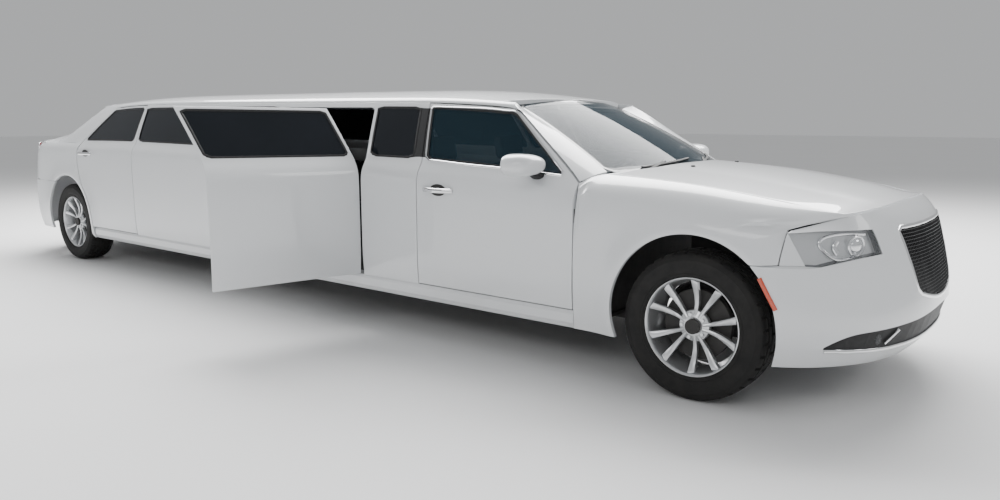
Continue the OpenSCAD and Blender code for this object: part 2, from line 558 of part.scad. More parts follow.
// Angle on the arch that goes with a point of the rim: straight out beside the door, then evenly spread
function rim_angle(p) = atan2(p[1] - arch_z, p[0] - xr);
door_rows = belt_row + 1;
function quarter_angle(i) = i == 0 ? quarter_start : i <= door_rows ? rim_angle(quarter_rim[i])
    : mix(rim_angle(quarter_rim[door_rows]), quarter_end, (i - door_rows) / (quarter_cols - door_rows));
function quarter_xz() = [for (i = [0:quarter_cols]) let (a = arch_point(xr, quarter_angle(i)))
    [for (r = fender_rows) mix(a, quarter_rim[i], r)]];
module rear_quarter(s) {
    g = quarter_xz();
    o = skin(g);
    color(white) on_side(s) {
        wall(skin(g), skin(g, skin_wall), all_cells(o));
        pillar_panel();
        deck_corner();
    }
}
// Strip of deck between the side and the trunk lid
module deck_corner() {
    us = [0, 0.25, 0.5, 0.75, 1];
    vs = [0, 0.2, 0.5, 0.8, 1];
    function point(u, v, w) =
        let (xo = mix(xr - 522, tail(1088) + sweep_back(lamp_outer, tail_depth) + 4, u),
            xi = mix(xr - 600, xr - 850, u), a = [xo, side(xo, 1096), 1098], b = [xi, deck_y + 1,
                mix(1116, 1112, u)], p = mix(a, b, v))
        [p[0], p[1], p[2] + 8 * sin(180 * v) - w];
    o = [for (u = us) [for (v = vs) point(u, v, 0)]];
    wall(o, [for (u = us) [for (v = vs) point(u, v, skin_wall)]], all_cells(o));
}
// Rear pillar between the rear door and the rear window
module pillar_panel() {
    us = [0, 0.2, 0.4, 0.6, 0.8, 1];
    vs = [0, 0.1, 0.3, 0.5, 0.7, 0.85, 1];
    z_top = rail_z(xr + 560);
    x_top = run(rd_rear_edge, z_top) - slant_gap;
    // Top row: along the side of the roof, and then round its rear corner to the window
    function top(u) = u <= 0.6 ? let (x = mix(x_top, roof_x(1, 0), u / 0.6)) [x, roof_half(x) + 1, rail_z(x)]
        : roof_point(mix(1, 0.84, (u - 0.6) / 0.4), 0, 0) - [1.2, 0, 0];
    function point(u, v, w) =
        let (z = mix(mix(1101.5, 1092.5, u), z_top, v), xd = run(rd_rear_edge, z) - slant_gap,
            v1 = clamp((z - rw_base[2]) / (rw_top[2] - rw_base[2]), 0, 1),
            s = screen_point(rw_base, rw_top, 1, v1, -60, 18, 0),
            x = mix(xd, s[0] + 4, u), yo = side(x, z), turn = smooth((u - 0.55) / 0.45) * smooth(v * 4),
            p = [x, mix(yo, s[1] + 6, turn) - w * (1 - 0.85 * u * u), z - w * 0.8 * u * u * smooth(v * 4)])
        mix(p, top(u) - [0, 0, w], smooth((v - 0.5) / 0.5));
    o = [for (u = us) [for (v = vs) point(u, v, 0)]];
    n = [for (u = us) [for (v = vs) point(u, v, frame_wall)]];
    wall(n, o, all_cells(o));
}
lid_u = [-1, -0.93, -0.8, -0.55, -0.25, 0, 0.25, 0.55, 0.8, 0.93, 1];
lid_rows = [[-592, 1116], [-620, 1120], [-700, 1126], [-800, 1126], [-880, 1118], [-925, 1104], [-945, 1082],
    [-975, 1010], [-1008, 900], [-1040, 800], [-1050, 742]];
function lid_point(u, r, w) =
    let (y = u * (deck_y - shut_gap), deck = clamp((r[1] - 1040) / 60, 0, 1),
        back = clamp((-r[0] - 880) / 60, 0, 1),
        d = sweep_back(abs(y) / half_width, tail_depth))
    [xr + r[0] + d * clamp((-r[0] - 700) / 200, 0, 1) + w * back, y,
        r[1] - 14 * u * u * deck - w * (1 - back)];
module trunk_lid() {
    function g(w) = [for (r = lid_rows) [for (u = lid_u) lid_point(u, r, w)]];
    o = g(0);
    color(white) wall(g(skin_wall), o, all_cells(o));
}
function tail_point(a, z, w) =
    let (full = plain_half(tail(z) + tail_depth, z), x = tail(z) + sweep_back(a, tail_depth),
        t = smooth((a - 0.6) / 0.32))
    [x + w * (1 - t), a * full - w * t, z];
bumper_u = [0, 0.2, 0.4, 0.55, 0.68, 0.78, 0.86, 0.92, 0.965, 0.99, 1];
bumper_z = [270, 300, 360, 430, 520, 620, 690, bumper_top];
module rear_bumper() {
    us = mirrored(bumper_u);
    function g(w) = [for (u = us) [for (z = bumper_z)
        let (p = tail_point(abs(u), z, w)) [p[0], sign(u) * p[1], z]]];
    o = g(0);
    color(white) wall(g(skin_wall), o, all_cells(o));
    color(white) for (s = [-1, 1]) on_side(s) bumper_cheek();
}
// Side of the rear bumper, from the arch back to the wrap
module bumper_cheek() {
    zs = bumper_z;
    function point(t, z, w) =
        let (dz = z - arch_z, x0 = xr - sqrt(max(arch_radius * arch_radius - dz * dz, 0)) - 1,
            x1 = tail(z) + tail_depth + 1, x = mix(x0, x1, t))
        [x, side(x, z) - w, z];
    ts = [0, 0.35, 0.7, 1];
    o = [for (t = ts) [for (z = zs) point(t, z, 0)]];
    wall(o, [for (t = ts) [for (z = zs) point(t, z, skin_wall)]], all_cells(o));
}
module tail_lights() {
    us = [for (t = [0:0.2:1.001]) mix(lamp_inner, lamp_outer, t)];
    zs = [742, 800, 870, 940, 1010, 1060, 1085];
    color("darkred") for (s = [-1, 1]) on_side(s) {
        o = [for (u = us) [for (z = zs) tail_point(u, z, 0)]];
        wall([for (u = us) [for (z = zs) tail_point(u, z - (z > 1080 ? 3 : 0), 26)]], o, all_cells(o));
    }
}
plate_w = 305;
plate_h = 155;
plate_hole = 7;
plate_pitch = [178, 121];
module number_plate() {
    color(silver) translate([tail(560) - seat_gap, 0, 560]) rotate([90, 0, -90]) difference() {
        translate([-plate_w / 2, -plate_h / 2, 0]) cube([plate_w, plate_h, 4]);
        for (x = [-1, 1], y = [-1, 1])
            translate([x * plate_pitch[0] / 2, y * plate_pitch[1] / 2, -1])
                cylinder(h = 6, d = plate_hole, $fn = 32);
    }
}

// ---- mirrors ----
module mirror_housing(s) {
    x = fd_front - 190;
    y = side(x + 25, 1040);
    color(white) on_side(s) {
        translate([fd_front - 270, 1022, 1085]) resize([230, 230, 134]) sphere(d = 100, $fn = 20);
        translate([x - 30, y + 5, 1036]) cube([60, 60, 24]);
    }
}

// ---- wheels ----
// Profile of a tyre in [radius, across] pairs with rounded shoulders
module tyre_profile() {
    w = tyre_width / 2;
    polygon([[rim_radius - 12, -w + 22], [rim_radius + 6, -w + 8], [mix(rim_radius, tyre_radius, 0.5), -w],
        [tyre_radius - 26, -w + 6], [tyre_radius - 9, -w + 18], [tyre_radius - 1.5, -w + 36],
            [tyre_radius, -w + 60],
        [tyre_radius, w - 60], [tyre_radius - 1.5, w - 36], [tyre_radius - 9, w - 18],
            [tyre_radius - 26, w - 6],
        [mix(rim_radius, tyre_radius, 0.5), w], [rim_radius + 6, w - 8], [rim_radius - 12, w - 22]]);
}
module tyre(x, s) {
    color(trim_black)
    difference() {
        translate([x, s * half_track, axle_z]) rotate([90, 0, 0]) rotate_extrude($fn = 96) tyre_profile();
        translate([x - tyre_radius, s * half_track - tyre_width, -20])
            cube([2 * tyre_radius, 2 * tyre_width, 20]);
    }
}
hub_bore = 36;
hub_clearance = 0.3;
module rim(x, s) {
    barrel = rim_radius - 12 - seat_gap;
    w = tyre_width / 2 - 22;
    color(silver)
    translate([x, s * half_track, axle_z]) rotate([s > 0 ? -90 : 90, 0, 0]) {
        rotate_extrude($fn = 96) polygon([[barrel, -w], [barrel, w], [barrel - 10, w + 6], [barrel - 14,
            w - 8],
            [barrel - 14, -w]]);
        difference() {
            union() {
                translate([0, 0, w - 42]) cylinder(r = 80, h = 40, $fn = 64);
                for (k = [0:4], d = [-10.5, 10.5]) rotate([0, 0, 72 * k + d])
                    translate([50, -11, w - 40]) cube([barrel - 56, 22, 28]);
            }
            translate([0, 0, w - 60]) cylinder(r = hub_bore, h = 80, $fn = 64);
            for (k = [0:4]) rotate([0, 0, 72 * k + 36])
                translate([57.5, 0, w - 60]) cylinder(d = 15, h = 80, $fn = 32);
        }
    }
}

// ---- running gear ----
module steering_knuckle(s) {
    w = tyre_width / 2 - 22;
    color(dark)
    translate([xf, s * half_track, axle_z]) rotate([s > 0 ? -90 : 90, 0, 0]) {
        cylinder(r = hub_bore - hub_clearance, h = w - 8, $fn = 64);
        translate([0, 0, -8]) cylinder(r = 168, h = 30, $fn = 64);
        translate([0, 0, -38]) cylinder(r = 48, h = 40, $fn = 64);
    }
    color(dark) translate([xf - 22, s * kingpin_y - 22, arm_top + seat_gap]) cube([44, 44, 210]);
}
arm_z = axle_z - 90;
arm_top = arm_z + 34;
module front_suspension() {
    color(dark) {
        translate([xf - 60, -330, arm_z - 45]) cube([120, 660, 70]);
        for (s = [-1, 1])
            translate([xf - 24, s > 0 ? 320 : -kingpin_y + 60, arm_z + 8]) cube([48, kingpin_y - 380, 26]);
        for (s = [-1, 1]) hull() {
            translate([xf, s * kingpin_y, arm_top - 26]) cylinder(d = 48, h = 26, $fn = 48);
            translate([xf - 24, s * (kingpin_y - 80) - 10, arm_top - 26]) cube([48, 20, 26]);
        }
    }
}
module rear_axle() {
    w = tyre_width / 2 - 22;
    color(dark) {
        translate([xr, half_track + w - 8, axle_z]) rotate([90, 0, 0])
            cylinder(r = hub_bore - hub_clearance, h = 2 * (half_track + w - 8), $fn = 64);
        translate([xr - 150, -130, axle_z - 110]) cube([300, 260,
            rear_floor_top - 20 - seat_gap - axle_z + 110]);
        for (s = [-1, 1])
            translate([xr, s * (half_track - 30), axle_z]) rotate([90, 0, 0])
            cylinder(r = 160, h = 28, center = true, $fn = 64);
        translate([xr + 60, -320, axle_z + 10]) cube([90, 640, 60]);
    }
}
module engine_block() {
    color(dark) translate([xf - 300, -270, arm_z + 25 + seat_gap]) cube([640, 540, 860 - arm_z - 25]);
}
module exhaust() {
    color(silver) {
        for (s = [-1, 1]) {
            translate([tail(300) + 60, s * 520, 222]) rotate([0, 90, 0])
                cylinder(d = 76, h = 500, $fn = 32);
            translate([tail(300) + 540, s * 460 - 70 + seat_gap, 182]) cube([260, 140 - 2 * seat_gap, 86]);
        }
    }
}

// ---- structure ----
well = 395;
module floor_plan() {
    translate([xr + riser, -well_inner]) square([well - riser + 1, 2 * well_inner]);
    translate([xr + well, -half_width + 110 + seat_gap])
        square([wheelbase - well - 560, 2 * half_width - 220 - 2 * seat_gap]);
}
// The floor steps up over the rear axle
riser = 260;
rear_floor_top = 500;
well_inner = 495;
module floor_pan() {
    color(dark) {
        translate([0, 0, floor_top - 20]) linear_extrude(20) floor_plan();
        translate([xr + riser - 20, -well_inner, floor_top - 20])
            cube([20, 2 * well_inner, rear_floor_top - floor_top + 20]);
        translate([xr - 860, -well_inner, rear_floor_top - 20]) cube([860 + riser, 2 * well_inner, 20]);
    }
}
module sills() {
    x0 = xr + arch_radius + 40;
    x1 = fd_front + shut_gap - seat_gap;
    color(white) for (s = [-1, 1]) on_side(s)
        translate([x0, 0, 0]) rotate([90, 0, 90]) linear_extrude(x1 - x0)
        polygon([[half_width - 110, sill_bottom], [half_width - 30, sill_bottom], [half_width - 12,
            sill_bottom + 30],
            [half_width - 10, door_bottom - 26], [half_width - 20, sill_top],
            [half_width - 110, sill_top]]);
}
module frame_rails() {
    color(dark) {
        for (s = [-1, 1])
            translate([xr - 850, s > 0 ? 330 : -390, floor_top - 20 - 70]) cube([wheelbase + 1300, 60, 70]);
        for (x = [xr - 800, -1800, 0, 1800, xf - 700])
            translate([x, -330, floor_top - 80]) cube([60, 660, 50]);
    }
}
module firewall() {
    color(dark) {
        translate([xf - 590, -700, floor_top]) cube([20, 1400, 690]);
        translate([xf - 590, -700, 960]) cube([190, 1400, 20]);
    }
}

// Barrels of the hinges, which fill the gap in front of each door and beside each lid
module hinges() {
    r = shut_gap / 2 - seat_gap;
    color(dark) {
        for (s = [-1, 1], z = [480, 800], x = [fd_front, rd_front])
            translate([x + shut_gap / 2, s * (half_width - 14), z]) cylinder(r = r, h = 70, $fn = 24);
        for (z = [480, 800])
            translate([xd_front + bay_gap / 2, -half_width + 14, z])
            cylinder(r = bay_gap / 2 - seat_gap, h = 70, $fn = 24);
    }
}

// ---- cabin ----
module dashboard() {
    color(dark) {
        translate([xf - 1000 - seat_gap, 0, 0]) rotate([90, 0, 0])
            translate([0, 0, -680]) linear_extrude(1360)
        polygon([[0, 560], [60, 520], [400, 520], [410, 930], [300, 955], [90, 945], [10, 880]]);
        translate(wheel_centre) rotate([0, 90 + steering_lean, 0]) translate([0, 0, 60])
            cylinder(d = 90, h = 100, $fn = 32);
    }
}
wheel_centre = [xf - 1130, 370, 880];
steering_lean = 24;
module steering_wheel() {
    color(dark) translate(wheel_centre) rotate([0, 90 + steering_lean, 0]) {
        rotate_extrude($fn = 64) translate([180, 0]) circle(d = 30, $fn = 24);
        cylinder(d = 150, h = 50, center = true, $fn = 48);
        cylinder(d = 40, h = 60 - seat_gap, $fn = 32);
        for (a = [0, 120, 240]) rotate([0, 0, a + 90]) translate([70, -16, -7]) cube([102, 32, 14]);
    }
}
module seat(w) {
    translate([0, -w / 2, 420]) cube([520, w, 130]);
    translate([-70, -w / 2, 420]) rotate([0, -14, 0]) cube([110, w, 640]);
    translate([60, -w / 2 + 60, floor_top]) cube([380, w - 120, 130]);
    translate([-215, -130, 1025]) rotate([0, -10, 0]) cube([80, 260, 190]);
}
module front_seats() {
    color(dark) for (s = [-1, 1]) translate([xf - 1850, s * 370, 0]) seat(520);
}
module partition() {
    color(dark) translate([xf - 2130, -690, floor_top]) cube([30, 1380, 640]);
}
module lounge_seat() {
    color(dark) {
        translate([xr + 1400, 300, floor_top]) cube([2300, 460, 170]);
        translate([xr + 1400, 300, floor_top + 170.3]) cube([2300, 400, 120]);
        translate([xr + 1400, 700, floor_top + 170.3]) cube([2300, 90, 480]);
    }
}
module rear_seat() {
    color(dark) {
        translate([xr + riser + seat_gap, -well_inner, floor_top + seat_gap])
            cube([400, 2 * well_inner, 170]);
        translate([xr + riser + 60, -640, floor_top + 170 + 2 * seat_gap]) cube([380, 1280, 120]);
        translate([xr + riser - 60, -640, rear_floor_top + seat_gap]) rotate([0, -12, 0])
            cube([110, 1280, 600]);
    }
}
module bar_cabinet() {
    color(dark) translate([xr + 1500, -780, floor_top]) cube([1500, 330, 480]);
}

floor_pan();
sills();
frame_rails();
firewall();
hinges();
front_fender(1);  // front_fender_left
front_fender(-1);  // front_fender_right
hood();
front_bumper();
grille();
headlights();
windscreen();
roof_panel();
roof_rails();
side_panel(1);  // side_panel_left
side_panel(-1);  // side_panel_right
side_glass(1);  // side_glass_left
side_glass(-1);  // side_glass_right
front_door(1);  // front_door_left
front_door(-1);  // front_door_right
front_door_glass(1);  // front_door_glass_left
front_door_glass(-1);  // front_door_glass_right
fifth_door();
fifth_door_glass();
rear_door(1);  // rear_door_left
rear_door(-1);  // rear_door_right
rear_door_glass(1);  // rear_door_glass_left
rear_door_glass(-1);  // rear_door_glass_right
mirror_housing(1);  // mirror_left
mirror_housing(-1);  // mirror_right
rear_quarter(1);  // rear_quarter_left
rear_quarter(-1);  // rear_quarter_right
rear_window();
trunk_lid();
tail_lights();
rear_bumper();
number_plate();
tyre(xf, 1);  // tyre_front_left
tyre(xf, -1);  // tyre_front_right
tyre(xr, 1);  // tyre_rear_left
tyre(xr, -1);  // tyre_rear_right
rim(xf, 1);  // rim_front_left
rim(xf, -1);  // rim_front_right
rim(xr, 1);  // rim_rear_left
rim(xr, -1);  // rim_rear_right
steering_knuckle(1);  // steering_knuckle_left
steering_knuckle(-1);  // steering_knuckle_right
front_suspension();
rear_axle();
engine_block();
exhaust();
dashboard();
steering_wheel();
front_seats();
partition();
lounge_seat();
rear_seat();
bar_cabinet();
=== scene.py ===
# %% [markdown]
# # A white stretch limousine
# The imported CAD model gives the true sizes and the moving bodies. This lesson gives
# it its looks: smooth painted panels, tinted glass, wheels with tread, lamps and
# trim. Everything is in metres, with +X forward, +Y left and +Z up.

# %% Load the frame
import json
from math import radians, pi, sin, cos, atan2, hypot

import bmesh
import bpy
from mathutils import Matrix, Vector
from mathutils.bvhtree import BVHTree

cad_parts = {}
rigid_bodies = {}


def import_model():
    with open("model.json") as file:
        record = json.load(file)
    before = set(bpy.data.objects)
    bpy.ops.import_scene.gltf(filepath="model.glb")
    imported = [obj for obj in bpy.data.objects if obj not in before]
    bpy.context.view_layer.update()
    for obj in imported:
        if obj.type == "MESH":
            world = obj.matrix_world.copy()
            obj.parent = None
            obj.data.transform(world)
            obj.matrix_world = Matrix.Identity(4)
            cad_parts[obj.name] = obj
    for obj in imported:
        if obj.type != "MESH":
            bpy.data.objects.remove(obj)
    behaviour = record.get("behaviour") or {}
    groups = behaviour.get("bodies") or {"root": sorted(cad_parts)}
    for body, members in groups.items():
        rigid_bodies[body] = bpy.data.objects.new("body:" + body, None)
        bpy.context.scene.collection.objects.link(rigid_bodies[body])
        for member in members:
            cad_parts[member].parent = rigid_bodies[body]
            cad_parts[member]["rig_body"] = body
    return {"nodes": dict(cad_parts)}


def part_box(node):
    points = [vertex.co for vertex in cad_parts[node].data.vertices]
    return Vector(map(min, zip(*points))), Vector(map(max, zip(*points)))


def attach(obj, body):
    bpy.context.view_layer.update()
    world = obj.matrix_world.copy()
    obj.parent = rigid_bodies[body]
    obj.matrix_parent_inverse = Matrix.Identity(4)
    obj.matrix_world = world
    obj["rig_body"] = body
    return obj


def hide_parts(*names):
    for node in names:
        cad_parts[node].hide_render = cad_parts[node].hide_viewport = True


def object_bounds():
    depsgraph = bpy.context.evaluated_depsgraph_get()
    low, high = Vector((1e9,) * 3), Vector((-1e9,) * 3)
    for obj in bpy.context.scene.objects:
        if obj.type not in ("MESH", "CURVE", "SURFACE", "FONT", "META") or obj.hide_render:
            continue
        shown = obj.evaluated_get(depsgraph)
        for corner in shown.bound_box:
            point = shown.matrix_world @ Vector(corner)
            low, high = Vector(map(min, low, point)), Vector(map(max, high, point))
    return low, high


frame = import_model()
cad_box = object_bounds()
LOW, HIGH = Vector(cad_box[0]), Vector(cad_box[1])
scene = bpy.context.scene
print("nodes", len(frame["nodes"]), "from", tuple(LOW), "to", tuple(HIGH))

# %% [markdown]
# ## The camera
# A camera near a front corner at head height shows the long side in strong
# perspective. A 28.65 mm lens on a 36 mm sensor gives that wide view.

# %% Camera
eye = bpy.data.cameras.new("eye")
eye.lens = 28.65
eye.sensor_width = 36
camera = bpy.data.objects.new("camera", eye)
camera.location = (4.660, -4.287, 1.320)
camera.rotation_euler = (radians(80.61), 0, radians(38.24))
scene.collection.objects.link(camera)
scene.camera = camera
print("camera at", tuple(camera.location))

# %% [markdown]
# ## Writing materials
# A material is a small net of nodes. Joining them one by one hides what a finish is
# made of, so one class holds a net and its calls read like a recipe. Wire wraps one
# output, and sums on it add Math nodes.


# %% Wire and Finish
class Wire:
    """One output of a node, on which Python's operators work."""

    def __init__(self, finish, socket):
        self.finish, self.socket = finish, socket

    def math(self, operation, a, b):
        return self.finish.node("ShaderNodeMath", {"operation": operation}, {0: a, 1: b})

    def __add__(self, other):
        return self.math("ADD", self, other)

    def __radd__(self, other):
        return self.math("ADD", other, self)

    def __sub__(self, other):
        return self.math("SUBTRACT", self, other)

    def __rsub__(self, other):
        return self.math("SUBTRACT", other, self)

    def __mul__(self, other):
        return self.math("MULTIPLY", self, other)

    def __rmul__(self, other):
        return self.math("MULTIPLY", other, self)


class Finish:
    """A Principled material that is filled in call by call."""

    def __init__(self, name, **constants):
        self.material = bpy.data.materials.new(name)
        self.material.use_nodes = True
        self.tree = self.material.node_tree
        self.shader = self.tree.nodes["Principled BSDF"]
        for socket, value in constants.items():
            self.shader.inputs[socket.replace("_", " ")].default_value = value

    def node(self, kind, settings=None, inputs=None, output=0):
        made = self.tree.nodes.new(kind)
        for name, value in (settings or {}).items():
            if name == "stops":
                for k, (place, colour) in enumerate(value):
                    stop = made.color_ramp.elements[k] if k < 2 else made.color_ramp.elements.new(place)
                    stop.position, stop.color = place, colour
            else:
                setattr(made, name, value)
        for socket, value in (inputs or {}).items():
            if isinstance(value, Wire):
                self.tree.links.new(value.socket, made.inputs[socket])
            else:
                made.inputs[socket].default_value = value
        return Wire(self, made.outputs[output])

    def place(self):
        """Position on the piece, in metres."""
        return self.node("ShaderNodeTexCoord", output=3)

    def noise(self, scale, detail=3.0, stretch=None):
        where = self.place()
        if stretch:
            where = self.node("ShaderNodeMapping", {}, {"Vector": where, "Scale": stretch})
        return self.node("ShaderNodeTexNoise", {}, {"Vector": where, "Scale": scale, "Detail": detail})

    def blend(self, share, first, second):
        inputs = {"Factor": share, "A": first, "B": second}
        return self.node("ShaderNodeMix", {"data_type": "RGBA"}, inputs, 2)

    def spread(self, value, low, high, to_low=0.0, to_high=1.0):
        """Carries value from one range to another, and keeps it inside."""
        inputs = {0: value, 1: low, 2: high, 3: to_low, 4: to_high}
        return self.node("ShaderNodeMapRange", {}, inputs)

    def height(self):
        """Height above the ground."""
        return self.node("ShaderNodeSeparateXYZ", {}, {0: self.place()}, 2)

    def relief(self, height, strength, distance):
        inputs = {"Height": height, "Strength": strength, "Distance": distance}
        return self.feed("Normal", self.node("ShaderNodeBump", {}, inputs))

    def feed(self, socket, value):
        self.tree.links.new(value.socket, self.shader.inputs[socket])
        return self

    def shades(self, share, dark, light):
        """Base colour that wanders between two shades."""
        return self.feed("Base Color", self.blend(share, (*dark, 1), (*light, 1)))


# %% [markdown]
# ## The paints and plastics
# White car paint is a pale base under a clear coat. The coat keeps sharp highlights
# and the base scatters light. A very fine ripple, like orange peel, breaks up the
# reflections, and road film dulls the paint a little near the ground.

# %% Paint
WHITE = (0.76, 0.775, 0.79, 1)
FILM = (0.62, 0.61, 0.58, 1)
paint = Finish("white_paint", Roughness=0.3, Coat_Weight=1.0, Coat_Roughness=0.03)
film = paint.spread(paint.height(), 0.24, 0.62, 0.16, 0.0) * paint.noise(5, 4)
paint.feed("Base Color", paint.blend(film, WHITE, FILM))
paint.feed("Roughness", 0.26 + paint.noise(60) * 0.08 + film)
paint.relief(paint.noise(260, 2), 0.02, 0.001)
print("painted with", paint.material.name)

# %% [markdown]
# Trim comes in a few kinds: gloss black on the pillars and in the grille, satin
# black moulded plastic low down, and bright metal round the windows. The grain of
# moulded plastic is bump, because it is far too fine for geometry.

# %% Trim finishes
gloss_black = Finish("gloss_black", Base_Color=(0.012, 0.012, 0.013, 1), Coat_Weight=0.6,
                     Coat_Roughness=0.04)
gloss_black.feed("Roughness", 0.10 + gloss_black.noise(40) * 0.12)
gloss_black.relief(gloss_black.noise(300, 2), 0.015, 0.001)

moulded = Finish("moulded_black", Specular_IOR_Level=0.3)
moulded.shades(moulded.noise(30), (0.014, 0.014, 0.015), (0.035, 0.035, 0.036))
moulded.feed("Roughness", 0.45 + moulded.noise(90) * 0.2)
moulded.relief(moulded.noise(900, 2), 0.25, 0.0006)

bright = Finish("bright_metal", Metallic=1.0)
bright.shades(bright.noise(12), (0.78, 0.79, 0.80), (0.92, 0.92, 0.93))
bright.feed("Roughness", 0.05 + bright.noise(70) * 0.10)

alloy = Finish("alloy_silver", Metallic=0.85, Coat_Weight=0.5, Coat_Roughness=0.08)
alloy.shades(alloy.noise(9), (0.60, 0.61, 0.62), (0.76, 0.77, 0.78))
alloy.feed("Roughness", 0.24 + alloy.noise(80) * 0.12)
alloy.relief(alloy.noise(500, 2), 0.04, 0.0005)

steel = Finish("machined_steel", Metallic=1.0)
steel.shades(steel.noise(25), (0.10, 0.10, 0.10), (0.20, 0.195, 0.19))
steel.feed("Roughness", 0.3 + steel.noise(120) * 0.2)

chassis = Finish("underbody_black")
chassis.shades(chassis.noise(7, 6), (0.016, 0.016, 0.017), (0.055, 0.052, 0.048))
chassis.feed("Roughness", 0.6 + chassis.noise(35) * 0.25)
chassis.relief(chassis.noise(60, 5), 0.35, 0.002)
print("trim finishes ready")

# %% [markdown]
# ## The glass
# Privacy glass is nearly opaque, with a mirror-like face. The front panes and the
# windscreen let the cabin show. A thin sheet needs no refraction, so these are dark
# gloss surfaces that are partly see-through, which also survives an export.

# %% Glass finishes
privacy = Finish("privacy_glass", IOR=1.38, Specular_IOR_Level=0.35)
privacy.shades(privacy.noise(2), (0.006, 0.008, 0.011), (0.014, 0.017, 0.022))
privacy.feed("Roughness", 0.03 + privacy.noise(50) * 0.04)
privacy.feed("Alpha", 0.94 + privacy.noise(3) * 0.05)

clear_glass = Finish("tinted_glass", IOR=1.4, Specular_IOR_Level=0.18)
clear_glass.shades(clear_glass.noise(2), (0.012, 0.030, 0.045), (0.02, 0.042, 0.055))
clear_glass.feed("Roughness", 0.02 + clear_glass.noise(50) * 0.03)
clear_glass.feed("Alpha", 0.52 + clear_glass.noise(3) * 0.08)

lens = Finish("lamp_lens", IOR=1.45, Coat_Weight=0.0)
lens.shades(lens.noise(6), (0.62, 0.66, 0.70), (0.76, 0.79, 0.82))
lens.feed("Roughness", 0.03 + lens.noise(60) * 0.03)
lens.feed("Alpha", 0.04 + lens.noise(9) * 0.05)

amber = Finish("amber_lens", Coat_Weight=1.0, Coat_Roughness=0.03)
amber.shades(amber.noise(90), (0.50, 0.045, 0.012), (0.66, 0.075, 0.018))
amber.feed("Roughness", 0.12 + amber.noise(200) * 0.15)

ruby = Finish("red_lens", Coat_Weight=1.0, Coat_Roughness=0.02)
ribs = ruby.node("ShaderNodeTexWave", {"bands_direction": "Z"}, {"Vector": ruby.place(), "Scale": 14.0})
ruby.shades(ribs, (0.22, 0.004, 0.006), (0.40, 0.010, 0.012))
ruby.feed("Roughness", 0.08 + ruby.noise(60) * 0.06)
print("glass finishes ready")

# %% [markdown]
# ## Rubber, leather and wood
# Rubber is dark and dull, a little browner where it is dusty. Leather has a pebble
# grain from a cell texture. The cabinet has a veneer, drawn as noise stretched
# along the grain.

# %% Soft and natural finishes
rubber = Finish("tyre_rubber", Specular_IOR_Level=0.22)
rubber.shades(rubber.noise(14, 5), (0.010, 0.010, 0.011), (0.030, 0.029, 0.027))
rubber.feed("Roughness", 0.55 + rubber.noise(60) * 0.25)
rubber.relief(rubber.noise(420, 3), 0.2, 0.0008)

leather = Finish("black_leather", Coat_Weight=0.15, Coat_Roughness=0.3)
grain = leather.node("ShaderNodeTexVoronoi", {}, {"Vector": leather.place(), "Scale": 320.0})
leather.shades(leather.noise(8), (0.018, 0.018, 0.020), (0.045, 0.044, 0.046))
leather.feed("Roughness", 0.42 + grain * 0.25)
leather.relief(grain, 0.35, 0.0008)

veneer = Finish("dark_veneer", Coat_Weight=1.0, Coat_Roughness=0.05)
streaks = veneer.noise(7, 8, (0.5, 6.0, 14.0))
veneer.shades(streaks, (0.035, 0.014, 0.007), (0.14, 0.060, 0.026))
veneer.feed("Roughness", 0.2 + streaks * 0.2)

lining = Finish("cabin_lining")
lining.shades(lining.noise(300, 2), (0.030, 0.030, 0.032), (0.055, 0.054, 0.055))
lining.feed("Roughness", 0.75 + lining.noise(120) * 0.2)
lining.relief(lining.noise(700, 2), 0.3, 0.0008)
print("soft finishes ready")


# %% [markdown]
# ## Moving a bmesh into the scene
# Each new piece is shaped as a bmesh and then becomes an object at the origin. One
# helper does that: it takes the finish, shades smooth, rides on a body, and turns
# the faces outwards.

# %% Helper for finished pieces
def piece(name, shape, finish, body="root", outwards=True, smooth_angle=35):
    """Makes an object of a bmesh and lets it ride on a body."""
    if outwards:
        bmesh.ops.remove_doubles(shape, verts=shape.verts, dist=1e-6)
        bmesh.ops.recalc_face_normals(shape, faces=shape.faces)
    for face in shape.faces:
        face.smooth = True
    for edge in shape.edges:
        if len(edge.link_faces) == 2:
            edge.smooth = edge.calc_face_angle(0) < radians(smooth_angle)
    data = bpy.data.meshes.new(name)
    shape.to_mesh(data)
    shape.free()
    made = bpy.data.objects.new(name, data)
    scene.collection.objects.link(made)
    data.materials.append(finish.material)
    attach(made, body)
    return made


def body_of(node):
    """Name of the body that a CAD node belongs to."""
    return frame["nodes"][node]["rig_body"]


def add_part(shape, part):
    """Moves all of one bmesh into another."""
    data = bpy.data.meshes.new("part")
    part.to_mesh(data)
    part.free()
    shape.from_mesh(data)
    bpy.data.meshes.remove(data)


def ball(shape, spot, radii, segments=24, turn=Matrix.Identity(4)):
    """A stretched ball, for lamps, nozzles and the painted shade of handle recesses."""
    place = Matrix.Translation(spot) @ turn @ Matrix.Diagonal((*radii, 1))
    bmesh.ops.create_uvsphere(shape, u_segments=segments, v_segments=segments // 2, radius=1, matrix=place)


# %% [markdown]
# ## Smooth panels
# The CAD panels are shells of flat cells. A copy of each is merged, its triangle
# pairs are joined to four-sided cells, its hard edges get a small bevel, and a
# subdivision surface rounds the rest. The bevels hold the shut lines crisp.

# %% Refining a panel
def cells_of(node):
    """A merged copy of a CAD mesh, with its triangle pairs joined."""
    shape = bmesh.new()
    shape.from_mesh(frame["nodes"][node].data)
    bmesh.ops.remove_doubles(shape, verts=shape.verts, dist=1e-5)
    bmesh.ops.join_triangles(
        shape, faces=shape.faces, angle_face_threshold=radians(30), angle_shape_threshold=radians(170))
    return shape


def hard_edges(shape, angle):
    return [e for e in shape.edges if len(e.link_faces) == 2 and e.calc_face_angle(0) > radians(angle)]


